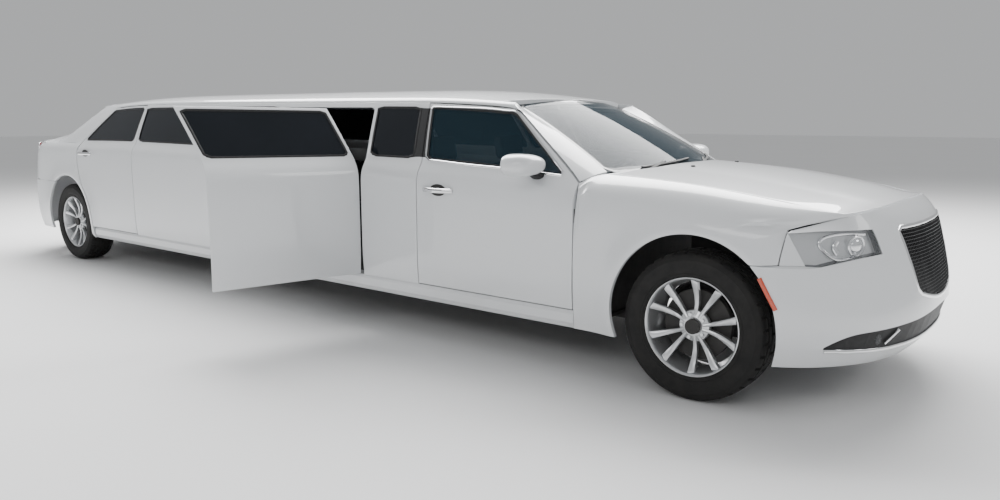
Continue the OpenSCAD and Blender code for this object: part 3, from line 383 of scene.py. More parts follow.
def refined(node, finish, edge=0.0022, angle=48, levels=2):
    """Stands for a CAD panel with a smooth copy of it."""
    shape = cells_of(node)
    if edge:
        bmesh.ops.bevel(shape, geom=hard_edges(shape, angle), offset=edge, offset_type="OFFSET",
                        segments=2, profile=0.5, affect="EDGES", clamp_overlap=True, material=-1)
    made = piece(node + "_skin", shape, finish, body_of(node), outwards=False, smooth_angle=180)
    smoother = made.modifiers.new("smooth", "SUBSURF")
    smoother.levels = smoother.render_levels = levels
    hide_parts(node)
    return made


# %% [markdown]
# The painted panels of the body all take the same white. Keeping them in a
# dictionary by node lets later steps reach a panel by its name.

# %% Painted panels
PAINTED = ["front_fender_left", "front_fender_right", "hood", "front_bumper", "roof_panel", "roof_rails",
           "side_panel_left", "side_panel_right", "front_door_left", "front_door_right", "fifth_door",
           "rear_door_left", "rear_door_right", "rear_quarter_left", "rear_quarter_right", "trunk_lid",
           "rear_bumper"]
skins = {node: refined(node, paint) for node in PAINTED}
print("refined", len(skins), "panels")

# %% [markdown]
# Panes are flat or gently curved, with ground edges, so their bevel is much finer
# than that of a panel. The front doors and the windscreen have the clearer glass.

# %% Glass panes
PANE_EDGE = 0.0006
PRIVACY = ["side_glass_left", "side_glass_right", "fifth_door_glass", "rear_door_glass_left",
           "rear_door_glass_right", "rear_window"]
CLEAR = ["windscreen", "front_door_glass_left", "front_door_glass_right"]
for node in PRIVACY:
    skins[node] = refined(node, privacy, edge=PANE_EDGE)
for node in CLEAR:
    skins[node] = refined(node, clear_glass, edge=PANE_EDGE)
print("refined", len(PRIVACY) + len(CLEAR), "panes")

# %% [markdown]
# ## Sweeps, outlines and rays
# Car trim is mostly thin strips that follow a panel. Three helpers make it: one
# walks round the outline of a group of faces, one drops a point onto a panel along
# a ray, and one carries an oval section along the path and bridges the rings.

# %% Helpers for trim
def trees(*nodes):
    """A search tree of the CAD skins of some nodes, to drop points onto."""
    shape = bmesh.new()
    for node in nodes:
        shape.from_mesh(frame["nodes"][node].data)
    tree = BVHTree.FromBMesh(shape)
    shape.free()
    return tree


def drop(tree, start, way, off=0.0):
    """The first point that a ray meets, lifted back along the ray."""
    hit = tree.ray_cast(Vector(start), Vector(way).normalized())[0]
    return None if hit is None else hit - Vector(way).normalized() * off


def dropped(tree, starts, way, off=0.0):
    """Where a row of rays meets a panel, without those that miss it."""
    spots = [drop(tree, start, way, off) for start in starts]
    return [spot for spot in spots if spot is not None]


def outlines(shape, faces):
    """Ordered closed loops of points round a group of faces."""
    group = set(faces)
    links = {}
    for edge in shape.edges:
        if sum(face in group for face in edge.link_faces) == 1:
            a, b = edge.verts
            links.setdefault(a, []).append(b)
            links.setdefault(b, []).append(a)
    loops = []
    while links:
        start = next(iter(links))
        loop, here, last = [start], links[start][0], start
        while here is not start and here in links:
            loop.append(here)
            here, last = next(v for v in links[here] if v is not last), here
        for v in loop:
            links.pop(v, None)
        loops.append([v.co.copy() for v in loop])
    return loops


def pane_loops(node):
    """Outlines of the outer faces of a pane, and the way they look."""
    shape = cells_of(node)
    low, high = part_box(node)
    widest = max(shape.faces, key=lambda face: face.calc_area())
    way = widest.normal.copy()
    way.z = 0
    way.normalize()
    # The open fifth door looks forward, and every other pane looks away from the centreline
    outer_side = way.x if "fifth" in node else way.y * (low[1] + high[1])
    if outer_side < 0:
        way.negate()
    loops = outlines(shape, [face for face in shape.faces if face.normal.dot(way) > 0.75])
    shape.free()
    return loops, way


def sweep(shape, path, wide, thick, out, closed=False, sides=8):
    """Carries an oval section along a path; out is the way its thin side looks."""
    rings = []
    for k, point in enumerate(path):
        before = path[k - 1] if closed or k else point
        after = path[(k + 1) % len(path)] if closed or k < len(path) - 1 else point
        ahead = (after - before).normalized()
        across = ahead.cross(Vector(out)).normalized()
        lift = across.cross(ahead)
        turn = Matrix((across * wide / 2, lift * thick / 2, ahead)).transposed().to_4x4()
        turn.translation = point
        capped = not closed and k in (0, len(path) - 1)
        ring = bmesh.ops.create_circle(shape, cap_ends=capped, segments=sides, radius=1, matrix=turn)
        verts = set(ring["verts"])
        rings.append([e for v in verts for e in v.link_edges if e.other_vert(v) in verts])
    for first, second in zip(rings, rings[1:] + (rings[:1] if closed else [])):
        bmesh.ops.bridge_loops(shape, edges=list(set(first + second)))
    return shape


def smooth_path(path, closed=False, rounds=2):
    """Cuts the corners of a path so that it bends gently."""
    for _ in range(rounds):
        pairs = list(zip(path, path[1:] + path[:1])) if closed else list(zip(path, path[1:]))
        cut = [p for a, b in pairs for p in (a.lerp(b, 0.25), a.lerp(b, 0.75))]
        path = cut if closed else [path[0]] + cut + [path[-1]]
    return path


print("trim helpers ready")

# %% [markdown]
# ## Window surrounds and the belt strip
# A bright strip runs under all the side windows, and another one goes right round
# the front door's window. A black seal edges every side pane. Each follows the
# outline of its own pane, so it moves with the door.

# %% Surrounds, seals and belt strips
STRIP_DROP, STRIP_LIFT = 0.020, 0.0065
STRIP_WIDE, STRIP_THICK = 0.014, 0.007
SALOON_LEAD, STRETCH_LEAD = 0.034, 0.018


def belt_strip(node, body):
    """Bright strip under a pane, a little below its lower edge."""
    shape = bmesh.new()
    loops, way = pane_loops(node)
    for loop in loops:
        low = min(p.z for p in loop)
        tall = max(p.z for p in loop) - low
        # The lower run is what lies close above the lowest point
        run = [p for p in loop if p.z < low + 0.16 * tall + STRIP_DROP]
        side_way = way.cross(Vector((0, 0, 1)))
        run.sort(key=lambda p: p.dot(side_way))
        first, last = run[0], run[-1]
        saloon = "front_door" in node or "rear_door" in node
        lead = (last - first).normalized() * (SALOON_LEAD if saloon else STRETCH_LEAD)
        run = [first - lead] + run + [last + lead]
        path = [p + Vector((0, 0, -STRIP_DROP)) + way * STRIP_LIFT for p in run]
        sweep(shape, smooth_path(path), STRIP_WIDE, STRIP_THICK, way)
    return piece(node + "_belt_strip", shape, bright, body)


GLAZED = [node for node in frame["nodes"] if "glass" in node]
for node in GLAZED:
    body = body_of(node)
    belt_strip(node, body)
    loops, way = pane_loops(node)
    seal = bmesh.new()
    for loop in loops:
        path = smooth_path([p + way * 0.0035 for p in loop], True, 1)
        sweep(seal, path, 0.017, 0.006, way, closed=True)
    piece(node + "_seal", seal, moulded, body)
    if "front_door" in node:
        frame_strip = bmesh.new()
        for loop in loops:
            middle = sum(loop, Vector()) / len(loop)
            grown = [p + (p - middle).normalized() * 0.012 + way * 0.0055 for p in loop]
            sweep(frame_strip, smooth_path(grown, True, 1), 0.013, 0.008, way, closed=True)
        piece(node + "_bright_frame", frame_strip, bright, body)
print("strips and seals follow", len(GLAZED), "panes")

# %% [markdown]
# ## Door handles
# A pull handle is a bar that stands off the door on two feet, over a scooped
# recess. A dark shallow dish is painted shade where the recess would be.

# %% Handles
HANDLE_BELOW_GLASS, HANDLE_FROM_EDGE, HANDLE_STEP = 0.115, 0.055, 0.0225
HANDLE_LIFTS = [0.004, 0.022, 0.032, 0.037, 0.039, 0.040, 0.039, 0.037, 0.032, 0.022, 0.004]


def handle(node, glass_node):
    """A bar on two feet near the rear edge of a door, over a dark dish of painted recess shade."""
    body = body_of(node)
    side = 1 if node.endswith("left") else -1
    shut = bmesh.new()
    shut.from_mesh(frame["nodes"][node].data)
    rear = min(v.co.x for v in shut.verts if v.co.z < 1.0)
    tree = BVHTree.FromBMesh(shut)
    shut.free()
    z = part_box(glass_node)[0][2] - HANDLE_BELOW_GLASS
    first_x = rear + HANDLE_FROM_EDGE
    spots = [drop(tree, (first_x + HANDLE_STEP * k, side * 2, z), (0, -side, 0))
             for k in range(len(HANDLE_LIFTS))]
    out = Vector((0, side, 0))
    bar = bmesh.new()
    raised = [spot + out * lift for spot, lift in zip(spots, HANDLE_LIFTS)]
    sweep(bar, smooth_path(raised), 0.027, 0.013, out, sides=12)
    piece(node + "_handle", bar, bright, body)
    # The dish is painted shade: a dark disc laid where the handle's recess would be.
    dish = bmesh.new()
    ball(dish, spots[len(spots) // 2] + out * 0.0005, (0.062, 0.002, 0.034))
    piece(node + "_handle_dish", dish, chassis, body)


for side in ("left", "right"):
    handle("front_door_" + side, "front_door_glass_" + side)
    handle("rear_door_" + side, "rear_door_glass_" + side)
print("four handles")

# %% [markdown]
# ## Wheels
# A wheel is a turned shape: the tyre and the barrel are profiles spun about the
# axle. The tyre's ribs are parted by grooves in the profile, and the shoulder
# blocks by insets that are pushed in. The ten spokes are flat strips that are
# shaped, thickened and bevelled.

# %% Profiles of the tyre and the rim, as radius and distance from the middle
TYRE_STEPS, RIM_STEPS, HUB_STEPS = 144, 128, 64
TREAD = [(0.2300, 0.0955), (0.2380, 0.1040), (0.2460, 0.1090), (0.2500, 0.1125), (0.2545, 0.1128),
         (0.2580, 0.1108), (0.2640, 0.1135), (0.2850, 0.1166), (0.3020, 0.1170), (0.3160, 0.1152),
         (0.3185, 0.1160), (0.3210, 0.1140), (0.3360, 0.1095), (0.3450, 0.1020), (0.3510, 0.0925),
         (0.3545, 0.0820), (0.3560, 0.0690), (0.3550, 0.0665), (0.3495, 0.0650), (0.3495, 0.0575),
         (0.3562, 0.0562), (0.3575, 0.0540), (0.3578, 0.0300), (0.3568, 0.0285), (0.3510, 0.0275),
         (0.3510, 0.0200), (0.3570, 0.0190), (0.3580, 0.0170), (0.3580, 0.0)]
BARREL = [(0.2297, -0.0955), (0.2297, 0.0840), (0.2350, 0.0930), (0.2372, 0.0995), (0.2362, 0.1035),
          (0.2325, 0.1040), (0.2285, 0.1005), (0.2250, 0.0930), (0.2205, 0.0780), (0.2150, 0.0550),
          (0.2080, 0.0250), (0.2040, -0.0100), (0.2080, -0.0550), (0.2180, -0.0955)]


HUB = [(0.0, 0.081), (0.026, 0.081), (0.030, 0.078), (0.031, 0.070), (0.046, 0.072),
       (0.052, 0.069), (0.074, 0.060), (0.078, 0.052), (0.078, 0.040), (0.0, 0.040)]


def spun(profile, steps):
    """Turns a closed profile of (radius, across) pairs about the Y axis."""
    shape = bmesh.new()
    verts = [bmesh.ops.create_vert(shape, co=(r, y, 0))["vert"][0] for r, y in profile]
    edges = [shape.edges.new(pair) for pair in zip(verts, verts[1:] + verts[:1])]
    bmesh.ops.spin(shape, geom=verts + edges, cent=(0, 0, 0), axis=(0, 1, 0), angle=2 * pi,
                   steps=steps, use_merge=True)
    bmesh.ops.remove_doubles(shape, verts=shape.verts, dist=1e-5)
    return shape


# %% [markdown]
# Slots across a rib part it into blocks. The faces of a rib are found by how far
# they lie from the wheel's middle and its axle, and every fourth or sixth is sunk.
# The two halves of the tread are a little out of step, as on a real tyre.

# %% Tyre
def slots(shape, low_y, high_y, low_r, every, phase):
    """Sinks every so many faces of one rib of the tread."""
    picked = []
    for face in shape.faces:
        c = face.calc_center_median()
        turn = int((atan2(c.z, c.x) / (2 * pi) % 1) * TYRE_STEPS)
        in_rib = low_y < abs(c.y) < high_y and hypot(c.x, c.z) > low_r
        if in_rib and (turn + phase * (c.y > 0)) % every == 0:
            picked.append(face)
    bmesh.ops.inset_individual(shape, faces=picked, thickness=0.0022, depth=-0.005)


def tyre_shape():
    shape = spun(TREAD + [(r, -y) for r, y in TREAD[-2::-1]], TYRE_STEPS)
    bmesh.ops.recalc_face_normals(shape, faces=shape.faces)
    slots(shape, 0.068, 0.103, 0.340, every=4, phase=2)
    slots(shape, 0.030, 0.0545, 0.356, every=6, phase=3)
    slots(shape, -0.001, 0.0175, 0.3565, every=6, phase=0)
    return shape


print("a tyre has", TYRE_STEPS, "steps round")

# %% [markdown]
# The spokes come in five pairs, and the two of a pair bend apart on their way out.
# Each is a grid that is bent to shape, given depth by an extrusion and rounded by
# a bevel. The hub is turned, and five nuts stand on it.

# %% Rim
PAIRS = 5


def spoke(shape, angle, bend):
    """One spoke of a pair, a strip that widens and bends away from its twin."""
    made = bmesh.ops.create_grid(shape, x_segments=12, y_segments=2, size=1)
    turn = Matrix.Rotation(angle, 4, "Y")
    for vert in made["verts"]:
        t, side = (vert.co.x + 1) / 2, vert.co.y
        half = 0.0078 + 0.0115 * t ** 1.3
        dish = 0.074 - 0.012 * sin(pi * min(t * 1.15, 1)) + 0.021 * t ** 2 - 0.003 * side * side
        lateral = bend * (0.0105 + 0.054 * t ** 1.25)
        vert.co = turn @ Vector((0.046 + 0.168 * t, dish, side * half + lateral))
    front = list({face for vert in made["verts"] for face in vert.link_faces})
    back = bmesh.ops.extrude_face_region(shape, geom=front)
    moved = [v for v in back["geom"] if isinstance(v, bmesh.types.BMVert)]
    bmesh.ops.translate(shape, verts=moved, vec=(0, -0.022, 0))
    sharp = {e for face in front for e in face.edges
             if len(e.link_faces) == 2 and e.calc_face_angle(0) > 1.0}
    bmesh.ops.bevel(shape, geom=list(sharp), offset=0.0028, offset_type="OFFSET", segments=3,
                    profile=0.5, affect="EDGES", clamp_overlap=True, material=-1)


def rim_shape():
    shape = spun(BARREL, RIM_STEPS)
    for k in range(PAIRS):
        for side in (-1, 1):
            spoke(shape, 2 * pi * k / PAIRS, side)
    hub = spun(HUB, HUB_STEPS)
    for k in range(PAIRS):
        a = 2 * pi * k / PAIRS + pi / PAIRS
        spot = Vector((0.057 * cos(a), 0.066, -0.057 * sin(a)))
        bmesh.ops.create_cone(hub, cap_ends=True, segments=6, radius1=0.0105, radius2=0.0088, depth=0.020,
                              matrix=Matrix.Translation(spot) @ Matrix.Rotation(-pi / 2, 4, "X"))
    add_part(shape, hub)
    return shape


print("a rim has", 2 * PAIRS, "spokes")

# %% [markdown]
# One tyre and one rim are made for each corner, moved to its axle, and turned over
# on the right side so that the spokes look outwards. The tyre stands flat on the
# ground, because the car's weight presses its foot.

# %% Four wheels
for end in ("front", "rear"):
    for side in ("left", "right"):
        place = end + "_" + side
        low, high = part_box("tyre_" + place)
        radius = (high[0] - low[0]) / 2
        axle = Vector((low[0] + radius, (low[1] + high[1]) / 2, high[2] - radius))
        turn = Matrix.Translation(axle) @ Matrix.Diagonal((1, 1 if side == "left" else -1, 1, 1))
        for name, shape, finish in (("tyre", tyre_shape(), rubber), ("rim", rim_shape(), alloy)):
            bmesh.ops.transform(shape, matrix=turn, verts=shape.verts)
            for vert in shape.verts:
                vert.co.z = max(vert.co.z, 0.0)
            node = name + "_" + place
            made = piece(node + "_full", shape, finish, body_of(node), smooth_angle=30)
            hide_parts(node)
print("four wheels")

# %% [markdown]
# ## The grille and the lower intake
# The grille is a dark panel behind a mesh, with a bright rim round it. The bars of
# the mesh are swept along paths that are dropped onto the CAD panel, so they follow
# the curve of the nose. They lean in towards the foot, where the grille narrows.

# %% Grille
nose_tree = trees("grille")
skin_tree = trees("front_bumper", "headlights", "front_fender_left", "front_fender_right")
AHEAD, BACK = Vector((1, 0, 0)), Vector((-1, 0, 0))
FRONT_X, REAR_X = HIGH.x + 1, LOW.x - 1
MESH_PITCH, MESH_HALF_COUNT, MESH_ROWS = 0.0165, 26, 24
MESH_WIDE, MESH_THICK = 0.0045, 0.008

panels = cells_of("grille")
fronts = [f for f in panels.faces if f.normal.x > 0.5]
upper, lower = sorted(outlines(panels, fronts), key=lambda loop: -max(p.z for p in loop))[:2]
panels.free()
trim = bmesh.new()
rim_path = [p + Vector((0.004, 0, 0)) for p in upper]
middle = sum(rim_path, Vector()) / len(rim_path)
rim_path = [p + (middle - p).normalized() * 0.003 for p in rim_path]
sweep(trim, smooth_path(rim_path, True, 1), 0.024, 0.014, AHEAD, closed=True, sides=10)
piece("grille_rim", trim, bright, body_of("grille"))
slats = bmesh.new()
top_z, low_z = max(p.z for p in upper), min(p.z for p in upper)
half = max(abs(p.y) for p in upper)
for k in range(1, MESH_ROWS):
    z = low_z + (top_z - low_z) * k / MESH_ROWS
    reach = half * (0.80 + 0.19 * k / MESH_ROWS) - 0.012
    starts = [(FRONT_X, reach * (j / 16 - 1), z) for j in range(33)]
    row = [p for p in dropped(nose_tree, starts, BACK, 0.004) if p.z > low_z]
    if len(row) > 3:
        sweep(slats, row, MESH_WIDE, MESH_THICK, AHEAD, sides=6)
for k in range(-MESH_HALF_COUNT, MESH_HALF_COUNT + 1):
    rise = (top_z - low_z - 0.014) / 12
    starts = [(FRONT_X, MESH_PITCH * k * (0.80 + 0.19 * j / 12), low_z + 0.006 + rise * j) for j in range(13)]
    run = dropped(nose_tree, starts, BACK, 0.004)
    if len(run) > 3:
        sweep(slats, run, MESH_WIDE, MESH_THICK, AHEAD, sides=6)
piece("grille_mesh", slats, gloss_black, body_of("grille"))
print("grille")

# %% [markdown]
# The trim under the lower intake follows the intake's own lower edge. A strut
# slants across each end of the intake, and a fog lamp sits beside it.

# %% Lower intake
half = max(abs(p.y) for p in lower)
under = []
for k in range(41):
    y = half * (k / 20 - 1)
    near = sorted(lower, key=lambda p: abs(p.y - y))[:4]
    point = Vector((max(p.x for p in near), y, min(p.z for p in near) - 0.006))
    under.append(drop(skin_tree, (FRONT_X, point.y, point.z), BACK, -0.002) or point)
chrome = bmesh.new()
sweep(chrome, smooth_path(under), 0.018, 0.009, AHEAD, sides=10)
fog = bmesh.new()
for side in (-1, 1):
    starts = [(FRONT_X, side * (0.500 + 0.075 * t), 0.420 - 0.080 * t) for t in (0, 0.25, 0.5, 0.75, 1)]
    strut = dropped(nose_tree, starts, BACK, 0.008)
    if len(strut) > 2:
        sweep(chrome, strut, 0.016, 0.012, AHEAD, sides=10)
    for spot in dropped(nose_tree, [(FRONT_X, side * 0.62, 0.368)], BACK, 0.006):
        ball(fog, spot, (0.010, 0.036, 0.024))
piece("lower_trim", chrome, bright, body_of("grille"))
piece("fog_lamps", fog, lens, body_of("grille"))
print("nose details")

# %% [markdown]
# ## The headlamps
# A lamp is a bright bucket with a clear cover. The bucket is the CAD lamp with its
# front faces inset and pushed in, and the cover is the same front skin, left as it
# is. Behind a slanting cut the lamp's corner takes the body's paint instead.

# %% Headlamps
wheel_low, wheel_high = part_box("tyre_front_left")
wheel_x = (wheel_low[0] + wheel_high[0]) / 2


CUT_SPOT, CUT_WAY = Vector((wheel_x + 0.415, 0, 0.848)), Vector((0.142, 0, 0.077)).normalized()


def looks_out(face):
    """How far a face looks forward and away from the centreline."""
    side = 1 if face.calc_center_median().y > 0 else -1
    return face.normal.dot(Vector((0.75, 0.75 * side, 0)))


def lamp_fronts(shape):
    """Faces of the lamps' outer skin."""
    return [f for f in shape.faces if looks_out(f) > 0.35 and f.calc_area() > 1e-6]


def ahead_of_cut(face):
    return (face.calc_center_median() - CUT_SPOT).dot(CUT_WAY) > 0


def cut_lamp():
    """The CAD lamps, parted by a slanting plane where the fender's corner overlaps them."""
    shape = cells_of("headlights")
    bmesh.ops.bisect_plane(shape, geom=shape.verts[:] + shape.edges[:] + shape.faces[:], dist=1e-5,
                           plane_co=CUT_SPOT, plane_no=CUT_WAY)
    return shape


bucket = cut_lamp()
fronts = [f for f in lamp_fronts(bucket) if ahead_of_cut(f)]
rim = bmesh.ops.inset_region(bucket, faces=fronts, thickness=0.006, use_even_offset=True)["faces"]
for vert in {v for f in fronts for v in f.verts}:
    vert.co += Vector((-0.024, -0.010 if vert.co.y > 0 else 0.010, 0))
kinds = {f: 2 for f in lamp_fronts(bucket) if not ahead_of_cut(f)}
kinds.update({f: 1 for f in rim})
for face, kind in kinds.items():
    face.material_index = kind
housing = piece("headlight_buckets", bucket, alloy, body_of("headlights"), smooth_angle=40)
for extra in (gloss_black, paint):
    housing.data.materials.append(extra.material)
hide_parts("headlights")

cover = cut_lamp()
keep = {f for f in lamp_fronts(cover) if ahead_of_cut(f)}
bmesh.ops.delete(cover, geom=[f for f in cover.faces if f not in keep], context="FACES")
bmesh.ops.solidify(cover, geom=cover.faces, thickness=0.0015)
piece("headlight_covers", cover, lens, body_of("headlights"))
print("lamp buckets and covers")

# %% [markdown]
# Inside each lamp are a round lens in a bright ring, a light guide that curls round
# it and a short second guide. Each is placed a little behind the lamp's skin.

# %% Inside the headlamps
lamp_tree = trees("headlights")
LAMP_CENTRE = (0.690, 0.778)
GUIDE = [(0.640, 0.826), (0.700, 0.832), (0.760, 0.830), (0.806, 0.816), (0.822, 0.790),
         (0.806, 0.752), (0.776, 0.722), (0.740, 0.722), (0.690, 0.728)]
SECOND_GUIDE = [(0.756, 0.800), (0.776, 0.776), (0.764, 0.746)]
optics = bmesh.new()
rings = bmesh.new()
for side in (-1, 1):
    look = Vector((0.85, side * 0.5, 0)).normalized()
    flat = look.to_track_quat("Z", "Y").to_matrix().to_4x4()

    def inside(spots, back):
        """Points behind the lamp's skin, from their distance outwards and their height."""
        starts = [(FRONT_X, side * y, z) for y, z in spots]
        return [spot - look * back for spot in dropped(lamp_tree, starts, BACK)]

    centre = inside([LAMP_CENTRE], 0.016)[0]
    ball(optics, centre, (0.032, 0.032, 0.014), segments=32, turn=flat)
    circle = [centre + flat.to_3x3() @ Vector((0.042 * cos(a), 0.042 * sin(a), 0.004))
              for a in [2 * pi * k / 32 for k in range(32)]]
    sweep(rings, circle, 0.010, 0.010, look, closed=True)
    sweep(rings, smooth_path(inside(GUIDE, 0.012)), 0.014, 0.010, look)
    second = inside(SECOND_GUIDE, 0.016)
    if len(second) > 2:
        sweep(rings, smooth_path(second), 0.022, 0.010, look)
piece("headlight_optics", optics, bright, body_of("headlights"))
piece("headlight_guides", rings, bright, body_of("headlights"))
print("headlamps")

# %% [markdown]
# ## Arch markers
# A small amber marker sits at the front edge of each front wheel arch.

# %% Arch markers
marker = bmesh.new()
for side in (-1, 1):
    starts = [(wheel_x + 0.330 + 0.075 * t, side * 2, 0.640 - 0.133 * t) for t in (0, 0.2, 0.4, 0.6, 0.8, 1)]
    path = dropped(skin_tree, starts, (0, -side, 0), 0.001)
    if len(path) > 2:
        sweep(marker, path, 0.021, 0.007, (0, side, 0), sides=10)
piece("arch_markers", marker, amber, body_of("front_bumper"))
print("arch markers")

# %% [markdown]
# ## Mirrors
# A mirror is a rounded shell with a flat rear side that holds the glass. It starts
# as a sphere whose rear is flattened and which is stretched to nearly fill the CAD
# box. A dark foot joins it to the corner of the door.

# %% Mirrors
SHELL_DEEP, SHELL_TALL, SHELL_BELOW_TOP = 0.112, 0.064, 0.067
FLAT_BEHIND = -0.42

for name, side in (("left", 1), ("right", -1)):
    node = "mirror_" + name
    low, high = [Vector(v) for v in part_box(node)]
    middle = (low + high) / 2
    half_wide = (high.y - low.y) / 2
    shell_z = high.z - SHELL_BELOW_TOP
    shell = bmesh.new()
    bmesh.ops.create_uvsphere(shell, u_segments=40, v_segments=24, radius=1)
    for vert in shell.verts:
        v = vert.co
        v.x, v.y, v.z = [abs(c) ** 0.80 * (1 if c > 0 else -1) for c in v]
        v.x = max(v.x, FLAT_BEHIND)
        v.z *= 0.80 + 0.20 * (v.y * side * 0.5 + 0.5)
    place = (Matrix.Translation((middle.x, middle.y, shell_z))
             @ Matrix.Diagonal((SHELL_DEEP, half_wide - 0.004, SHELL_TALL, 1)))
    bmesh.ops.transform(shell, matrix=place, verts=shell.verts)
    made = piece(node + "_shell", shell, paint, body_of(node), smooth_angle=50)
    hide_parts(node)
    glass = bmesh.new()
    place = (Matrix.Translation((middle.x - 0.0485, middle.y, shell_z))
             @ Matrix.Diagonal((1, half_wide * 0.78, 0.052, 1)) @ Matrix.Rotation(pi / 2, 4, "Y"))
    bmesh.ops.create_circle(glass, cap_ends=True, segments=40, radius=1, matrix=place)
    bmesh.ops.solidify(glass, geom=glass.faces, thickness=0.001)
    piece(node + "_glass", glass, bright, body_of(node))
    foot = bmesh.new()
    inner_y = min(abs(low.y), abs(high.y))
    place = (Matrix.Translation((middle.x + 0.015, side * (inner_y + 0.035), high.z - 0.118))
             @ Matrix.Rotation(-side * pi / 2.6, 4, "X") @ Matrix.Diagonal((1.0, 0.55, 1.0, 1)))
    bmesh.ops.create_cone(foot, cap_ends=True, segments=24, radius1=0.046, radius2=0.026, depth=0.10,
                          matrix=place)
    piece(node + "_foot", foot, moulded, body_of(node))
print("mirrors")

# %% [markdown]
# ## Seats
# A seat is a set of stuffed pads. Each pad starts as a box that is cut into many
# cells. Its faces are crowned, because foam is thickest in the middle, sewn
# channels pull lines into its front, and soft folds run out from the corners. The
# edges are pulled in last, so that the cover looks stretched over foam.

# %% Pads
def pad(shape, low, high, tilt=0.0, channels=0, run="y", crown=0.030, front="top"):
    """One upholstered block between two corners, tilted about its lower rear edge."""
    low, high = Vector(low), Vector(high)
    size, middle = high - low, (low + high) / 2
    made = bmesh.new()
    bmesh.ops.create_cube(made, size=2)
    bmesh.ops.subdivide_edges(made, edges=made.edges, cuts=15, use_grid_fill=True)
    for vert in made.verts:
        p = vert.co
        u, v, w = p
        near_vw, near_uw, near_uv = [1 - 0.10 * abs(a * b) ** 6 for a, b in ((v, w), (u, w), (u, v))]
        p.x, p.y, p.z = u * near_vw * near_uw, v * near_uw * near_uv, w * near_vw * near_uv
        face_up = w > 0.999 if front == "top" else u > 0.999
        a, b = (u, v) if front == "top" else (w, v)
        along = b if run == "y" else a
        swell = (1 - a ** 4) * (1 - b ** 4)
        depth = 0.0
        if face_up:
            depth = crown * swell
            if channels:
                phase = (along + 1) / 2 * channels
                near = abs(phase - round(phase)) if 0.4 < phase < channels - 0.4 else 0.5
                depth -= 0.012 * (1 - min(near / 0.16, 1)) ** 2 * swell ** 0.3
            depth -= 0.006 * max(0, abs(a) - 0.72) * sin(9 * b * pi) * swell ** 0.2
        p.x, p.y, p.z = p.x * size.x / 2, p.y * size.y / 2, p.z * size.z / 2
        if front == "top":
            p.z += depth - crown
        else:
            p.x += depth - crown
    pivot = Matrix.Translation((low.x, middle.y, low.z))
    lean = pivot @ Matrix.Rotation(radians(tilt), 4, "Y") @ pivot.inverted()
    bmesh.ops.transform(made, matrix=Matrix.Translation(middle), verts=made.verts)
    bmesh.ops.transform(made, matrix=lean, verts=made.verts)
    add_part(shape, made)


def upholstered(node, pads):
    """Stands for a CAD seat with stuffed pads."""
    shape = bmesh.new()
    for corners in pads:
        pad(shape, **corners)
    made = piece(node + "_upholstery", shape, leather, body_of(node), smooth_angle=50)
    smoother = made.modifiers.new("smooth", "SUBSURF")
    smoother.levels = smoother.render_levels = 1
    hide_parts(node)


print("pads ready")

# %% [markdown]
# A front seat is a cushion, a backrest that leans back, a headrest and a plinth.
# The lounge seat and the rear bench have three places each, on one long plinth.

# %% Front seats
CUSHION_LOW, CUSHION_HIGH = 0.42, 0.55
CUSHION_LONG = 0.520
low, high = [Vector(v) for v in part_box("front_seats")]
seats = []
for side in (-1, 1):
    y0, y1 = sorted((side * 0.110, side * 0.630))
    c = (y0 + y1) / 2
    x0 = high.x - CUSHION_LONG
    seats += [dict(low=(x0, y0, CUSHION_LOW), high=(high.x, y1, CUSHION_HIGH), channels=5, crown=0.024),
              dict(low=(x0 - 0.070, y0, 0.44), high=(x0 + 0.040, y1, 1.02),
                   tilt=-14, channels=5, crown=0.022, front="face"),
              dict(low=(x0 - 0.215, c - 0.125, 1.035), high=(x0 - 0.135, c + 0.125, 1.195),
                   tilt=-10, crown=0.014, front="face"),
              dict(low=(x0 + 0.065, y0 + 0.065, low.z), high=(x0 + 0.435, y1 - 0.065, CUSHION_LOW),
                   crown=0.002)]
upholstered("front_seats", seats)
print("front seats", len(seats), "pads")

# %% [markdown]
# The lounge seat runs along the cabin and faces the bar, so its channels run
# across it. The rear bench faces forward.

# %% Lounge seat and rear bench
PLACES, PLINTH_TALL = 3, 0.170
low, high = [Vector(v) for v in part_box("lounge_seat")]
cushion_z = low.z + PLINTH_TALL
lounge = [dict(low=(low.x, low.y, low.z), high=(high.x, high.y - 0.03, cushion_z), crown=0.002)]
third = (high.x - low.x) / PLACES
for k in range(PLACES):
    x0, x1 = low.x + third * k + 0.002, low.x + third * (k + 1) - 0.002
    lounge += [dict(low=(x0, low.y, cushion_z + 0.001), high=(x1, low.y + 0.398, cushion_z + 0.120),
                    channels=6, run="x", crown=0.020),
               dict(low=(x0, high.y - 0.090, cushion_z + 0.002), high=(x1, high.y, high.z), crown=0.006)]
upholstered("lounge_seat", lounge)
low, high = [Vector(v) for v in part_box("rear_seat")]
cushion_z = low.z + PLINTH_TALL
bench = [dict(low=(high.x - 0.435, -0.490, low.z), high=(high.x - 0.042, 0.490, cushion_z), crown=0.002)]
third = (high.y - low.y) / PLACES
for k in range(PLACES):
    y0, y1 = low.y + third * k + 0.002, low.y + third * (k + 1) - 0.002
    bench += [dict(low=(high.x - 0.380, y0, cushion_z + 0.001), high=(high.x, y1, cushion_z + 0.120),
                   channels=5, crown=0.020),
              dict(low=(high.x - 0.500, y0, 0.502), high=(high.x - 0.390, y1, 1.085),
                   tilt=-12, channels=5, crown=0.020, front="face")]
upholstered("rear_seat", bench)
print("seats padded")

# %% [markdown]
# ## Pillars
# The posts between the side windows are gloss black. They are the same faces of
# the panels, given a second material, where they lie between two panes.

